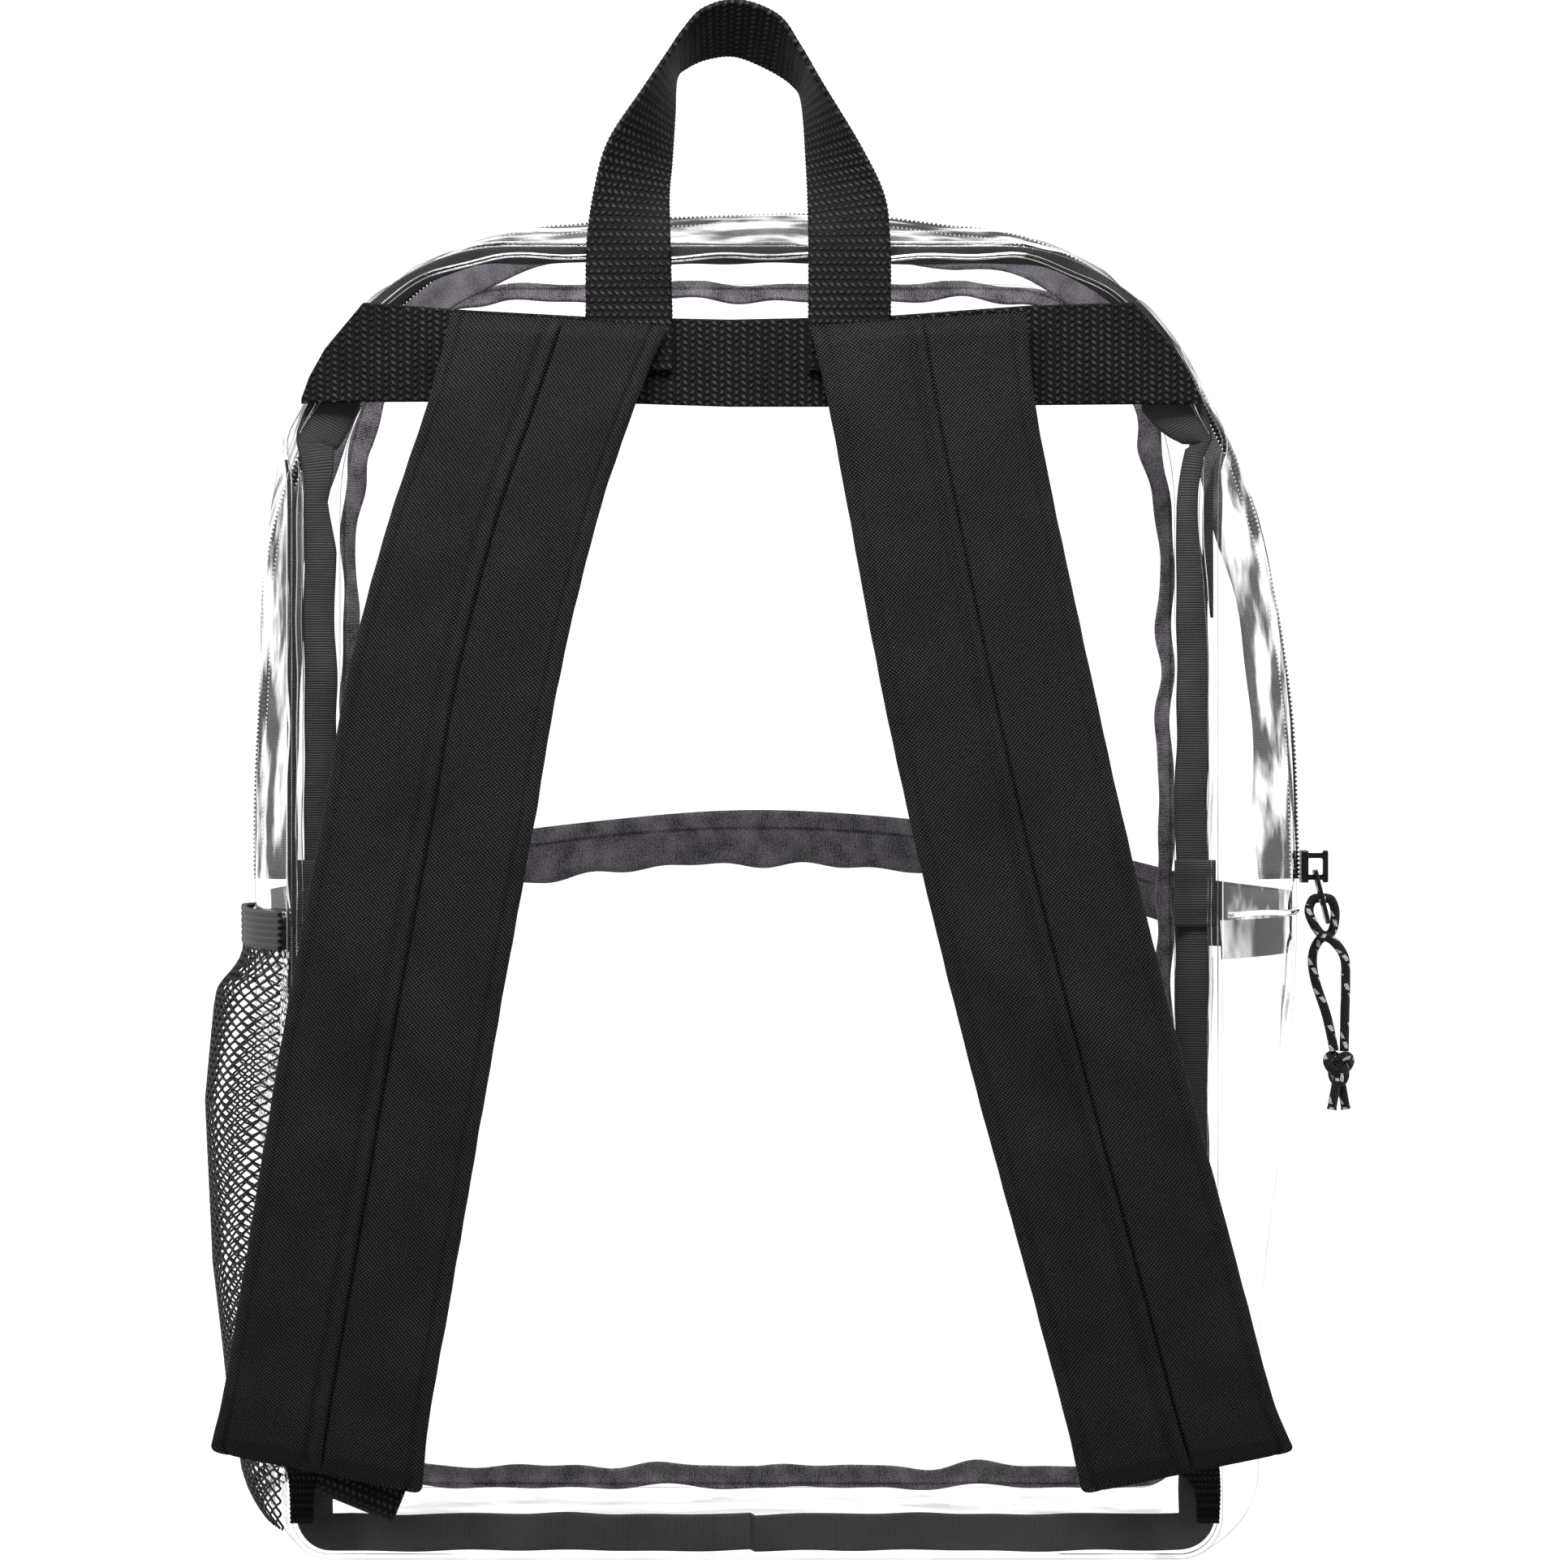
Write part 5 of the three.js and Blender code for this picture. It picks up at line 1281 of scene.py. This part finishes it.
def adjuster(side, node):
    """Webbing from the bottom corner, up behind the strap and into its buckle."""
    key = "left" if side < 0 else "right"
    buckle_x, buckle_y, _ = centre_of(f"buckle_{key}")
    top_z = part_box(f"buckle_{key}")[0].z / MM - 0.9
    anchor_x = side * 146.0
    rows = [
        [anchor_x, BACK_Y - 1.2, 12.0, 3.5],
        [anchor_x - side * 0.6, BACK_Y - 1.2, 24.0, 4.5],
        [(anchor_x + buckle_x) / 2, BACK_Y - 4.0, 34.0, 10.0],
        [buckle_x, buckle_y + 3.0, top_z - 3.0, 12.5],
        [buckle_x, buckle_y + 0.6, top_z, 12.5],
    ]
    line = by_length(catmull(rows, 120), 110)
    middle = line[:, :3]
    reach = np.array([1.0, 0.0, 0.0]) * line[:, 3:]
    ribbon_mesh(f"adjuster_webbing_{key}", node, middle - reach, middle + reach, 1.7, 18, 0.14)


adjuster(-1, "adjuster_left")
adjuster(1, "adjuster_right")


ROLL_TURNS = 2.25
ROLL_START = 2.3
ROLL_RADIUS = 6.4
ROLL_DROP = math.radians(22)
ROLL_HALF_WIDTH = 13.2


def rolled_tail():
    """The left adjuster's loose end, rolled up: a spiral of webbing that ends in a short tail."""
    t = np.linspace(0, 1, 150)
    angle = math.pi + (1 - t) * ROLL_TURNS * 2 * math.pi
    radius = ROLL_START + (ROLL_RADIUS - ROLL_START) * t - 0.6
    curve = np.stack([radius * np.cos(angle), radius * np.sin(angle)], 1)
    tail = np.stack([np.full(20, curve[-1, 0]), np.linspace(0.6, 11.5, 20)], 1)
    curve = np.concatenate([curve, tail])
    ends = []
    for end in (-ROLL_HALF_WIDTH, ROLL_HALF_WIDTH):
        x = end * math.cos(ROLL_DROP) + curve[:, 1] * math.sin(ROLL_DROP)
        z = curve[:, 1] * math.cos(ROLL_DROP) - end * math.sin(ROLL_DROP)
        ends.append(np.stack([x, curve[:, 0], z], 1))
    both = np.concatenate(ends)
    shift = centre_of("webbing_roll") - (both.max(0) + both.min(0)) / 2
    ribbon_mesh("rolled_webbing", "webbing_roll", ends[0] + shift, ends[1] + shift, 1.1, 18, 0.14)


rolled_tail()

# Floor, lights and world

BACKDROP = 1.25
FLOOR_GLOW = 0.65
ROOM = 0.14
FLOOR_HALF = 6.0
FLOOR_Z = -0.0005
# Reflected light by direction: 0 is from behind the camera, 1 from straight behind the bag
STUDIO = (
    (0.01, 0.10),
    (0.20, 0.10),
    (0.32, 0.35),
    (0.45, 0.85),
    (0.60, 1.05),
    (0.99, 1.15),
)

ground = Shader("floor")
light_path = ground.node("ShaderNodeLightPath")
camera_ray = light_path.outputs["Is Camera Ray"]
glossy_ray = light_path.outputs["Is Glossy Ray"]
place = ground.node("ShaderNodeNewGeometry").outputs["Position"]
spot = ground.node("ShaderNodeSeparateXYZ", Vector=place)
behind = ground.soft_range(spot.outputs["Y"], -0.25, 0.15, 0.1, BACKDROP)
shine_seen = ground.mul(glossy_ray, behind)
dull = ground.sub(1.0, ground.math("MAXIMUM", glossy_ray, camera_ray))
level_seen = ground.mul_add(camera_ray, BACKDROP, shine_seen)
level_seen = ground.mul_add(dull, FLOOR_GLOW, level_seen)
glow = ground.node("ShaderNodeEmission", Color=(1, 1, 1, 1), Strength=level_seen)
ground.put(ground.output.inputs["Surface"], glow)
floor_mesh = bpy.data.meshes.new("floor")
corners = ((-1, -1), (1, -1), (1, 1), (-1, 1))
floor_mesh.from_pydata([(x * FLOOR_HALF, y * FLOOR_HALF, FLOOR_Z) for x, y in corners], [], [(0, 1, 2, 3)])
floor_mesh.materials.append(ground.material)
floor = bpy.data.objects.new("floor", floor_mesh)
scene.collection.objects.link(floor)


def area_light(name, place, target, width, height, power):
    data = bpy.data.lights.new(name, "AREA")
    data.shape = "RECTANGLE"
    data.size = width
    data.size_y = height
    data.energy = power
    ob = bpy.data.objects.new(name, data)
    scene.collection.objects.link(ob)
    ob.location = place
    direction = Vector(target) - Vector(place)
    ob.rotation_euler = direction.to_track_quat("-Z", "Y").to_euler()


area_light("key", (-1.4, -1.3, 1.5), (0, 0, 0.3), 0.9, 1.3, 9)
area_light("fill", (1.8, -1.2, 0.9), (0, 0, 0.25), 0.7, 1.4, 6)
area_light("top", (-0.05, -0.47, 0.88), (0, -0.1, 0.35), 0.5, 0.2, 9)


def background(strength):
    n = tree.nodes.new("ShaderNodeBackground")
    n.inputs["Color"].default_value = (1, 1, 1, 1)
    n.inputs["Strength"].default_value = strength
    return n


def blend(share, first, second):
    n = tree.nodes.new("ShaderNodeMixShader")
    for socket, output in zip(n.inputs, (share, first.outputs[0], second.outputs[0])):
        link(output, socket)
    return n


# The camera sees a bright backdrop. The clear sheet reflects white from behind the bag, dark from round it.
world = bpy.data.worlds.new("world")
scene.world = world
world.use_nodes = True
tree = world.node_tree
tree.nodes.clear()
link = tree.links.new
out = tree.nodes.new("ShaderNodeOutputWorld")
ray = tree.nodes.new("ShaderNodeLightPath")
white = background(BACKDROP)
room = background(ROOM)
studio = background(1.0)
coordinates = tree.nodes.new("ShaderNodeTexCoord")
split = tree.nodes.new("ShaderNodeSeparateXYZ")
link(coordinates.outputs["Generated"], split.inputs[0])
ramp = tree.nodes.new("ShaderNodeValToRGB")
stops = ramp.color_ramp.elements
for at, value in STUDIO:
    stop = stops.new(at)
    stop.color = (value, value, value, 1)
stops.remove(stops[0])
stops.remove(stops[-1])
half = tree.nodes.new("ShaderNodeMath")
half.operation = "MULTIPLY_ADD"
half.inputs[1].default_value = 0.5
half.inputs[2].default_value = 0.5
link(split.outputs[1], half.inputs[0])
link(half.outputs[0], ramp.inputs[0])
link(ramp.outputs[0], studio.inputs["Color"])
shine = blend(ray.outputs["Is Glossy Ray"], room, studio)
seen = blend(ray.outputs["Is Camera Ray"], shine, white)
link(seen.outputs[0], out.inputs["Surface"])

scene.view_settings.view_transform = "Standard"
scene.view_settings.look = "None"
scene.cycles.transparent_max_bounces = 64
scene.cycles.max_bounces = 12
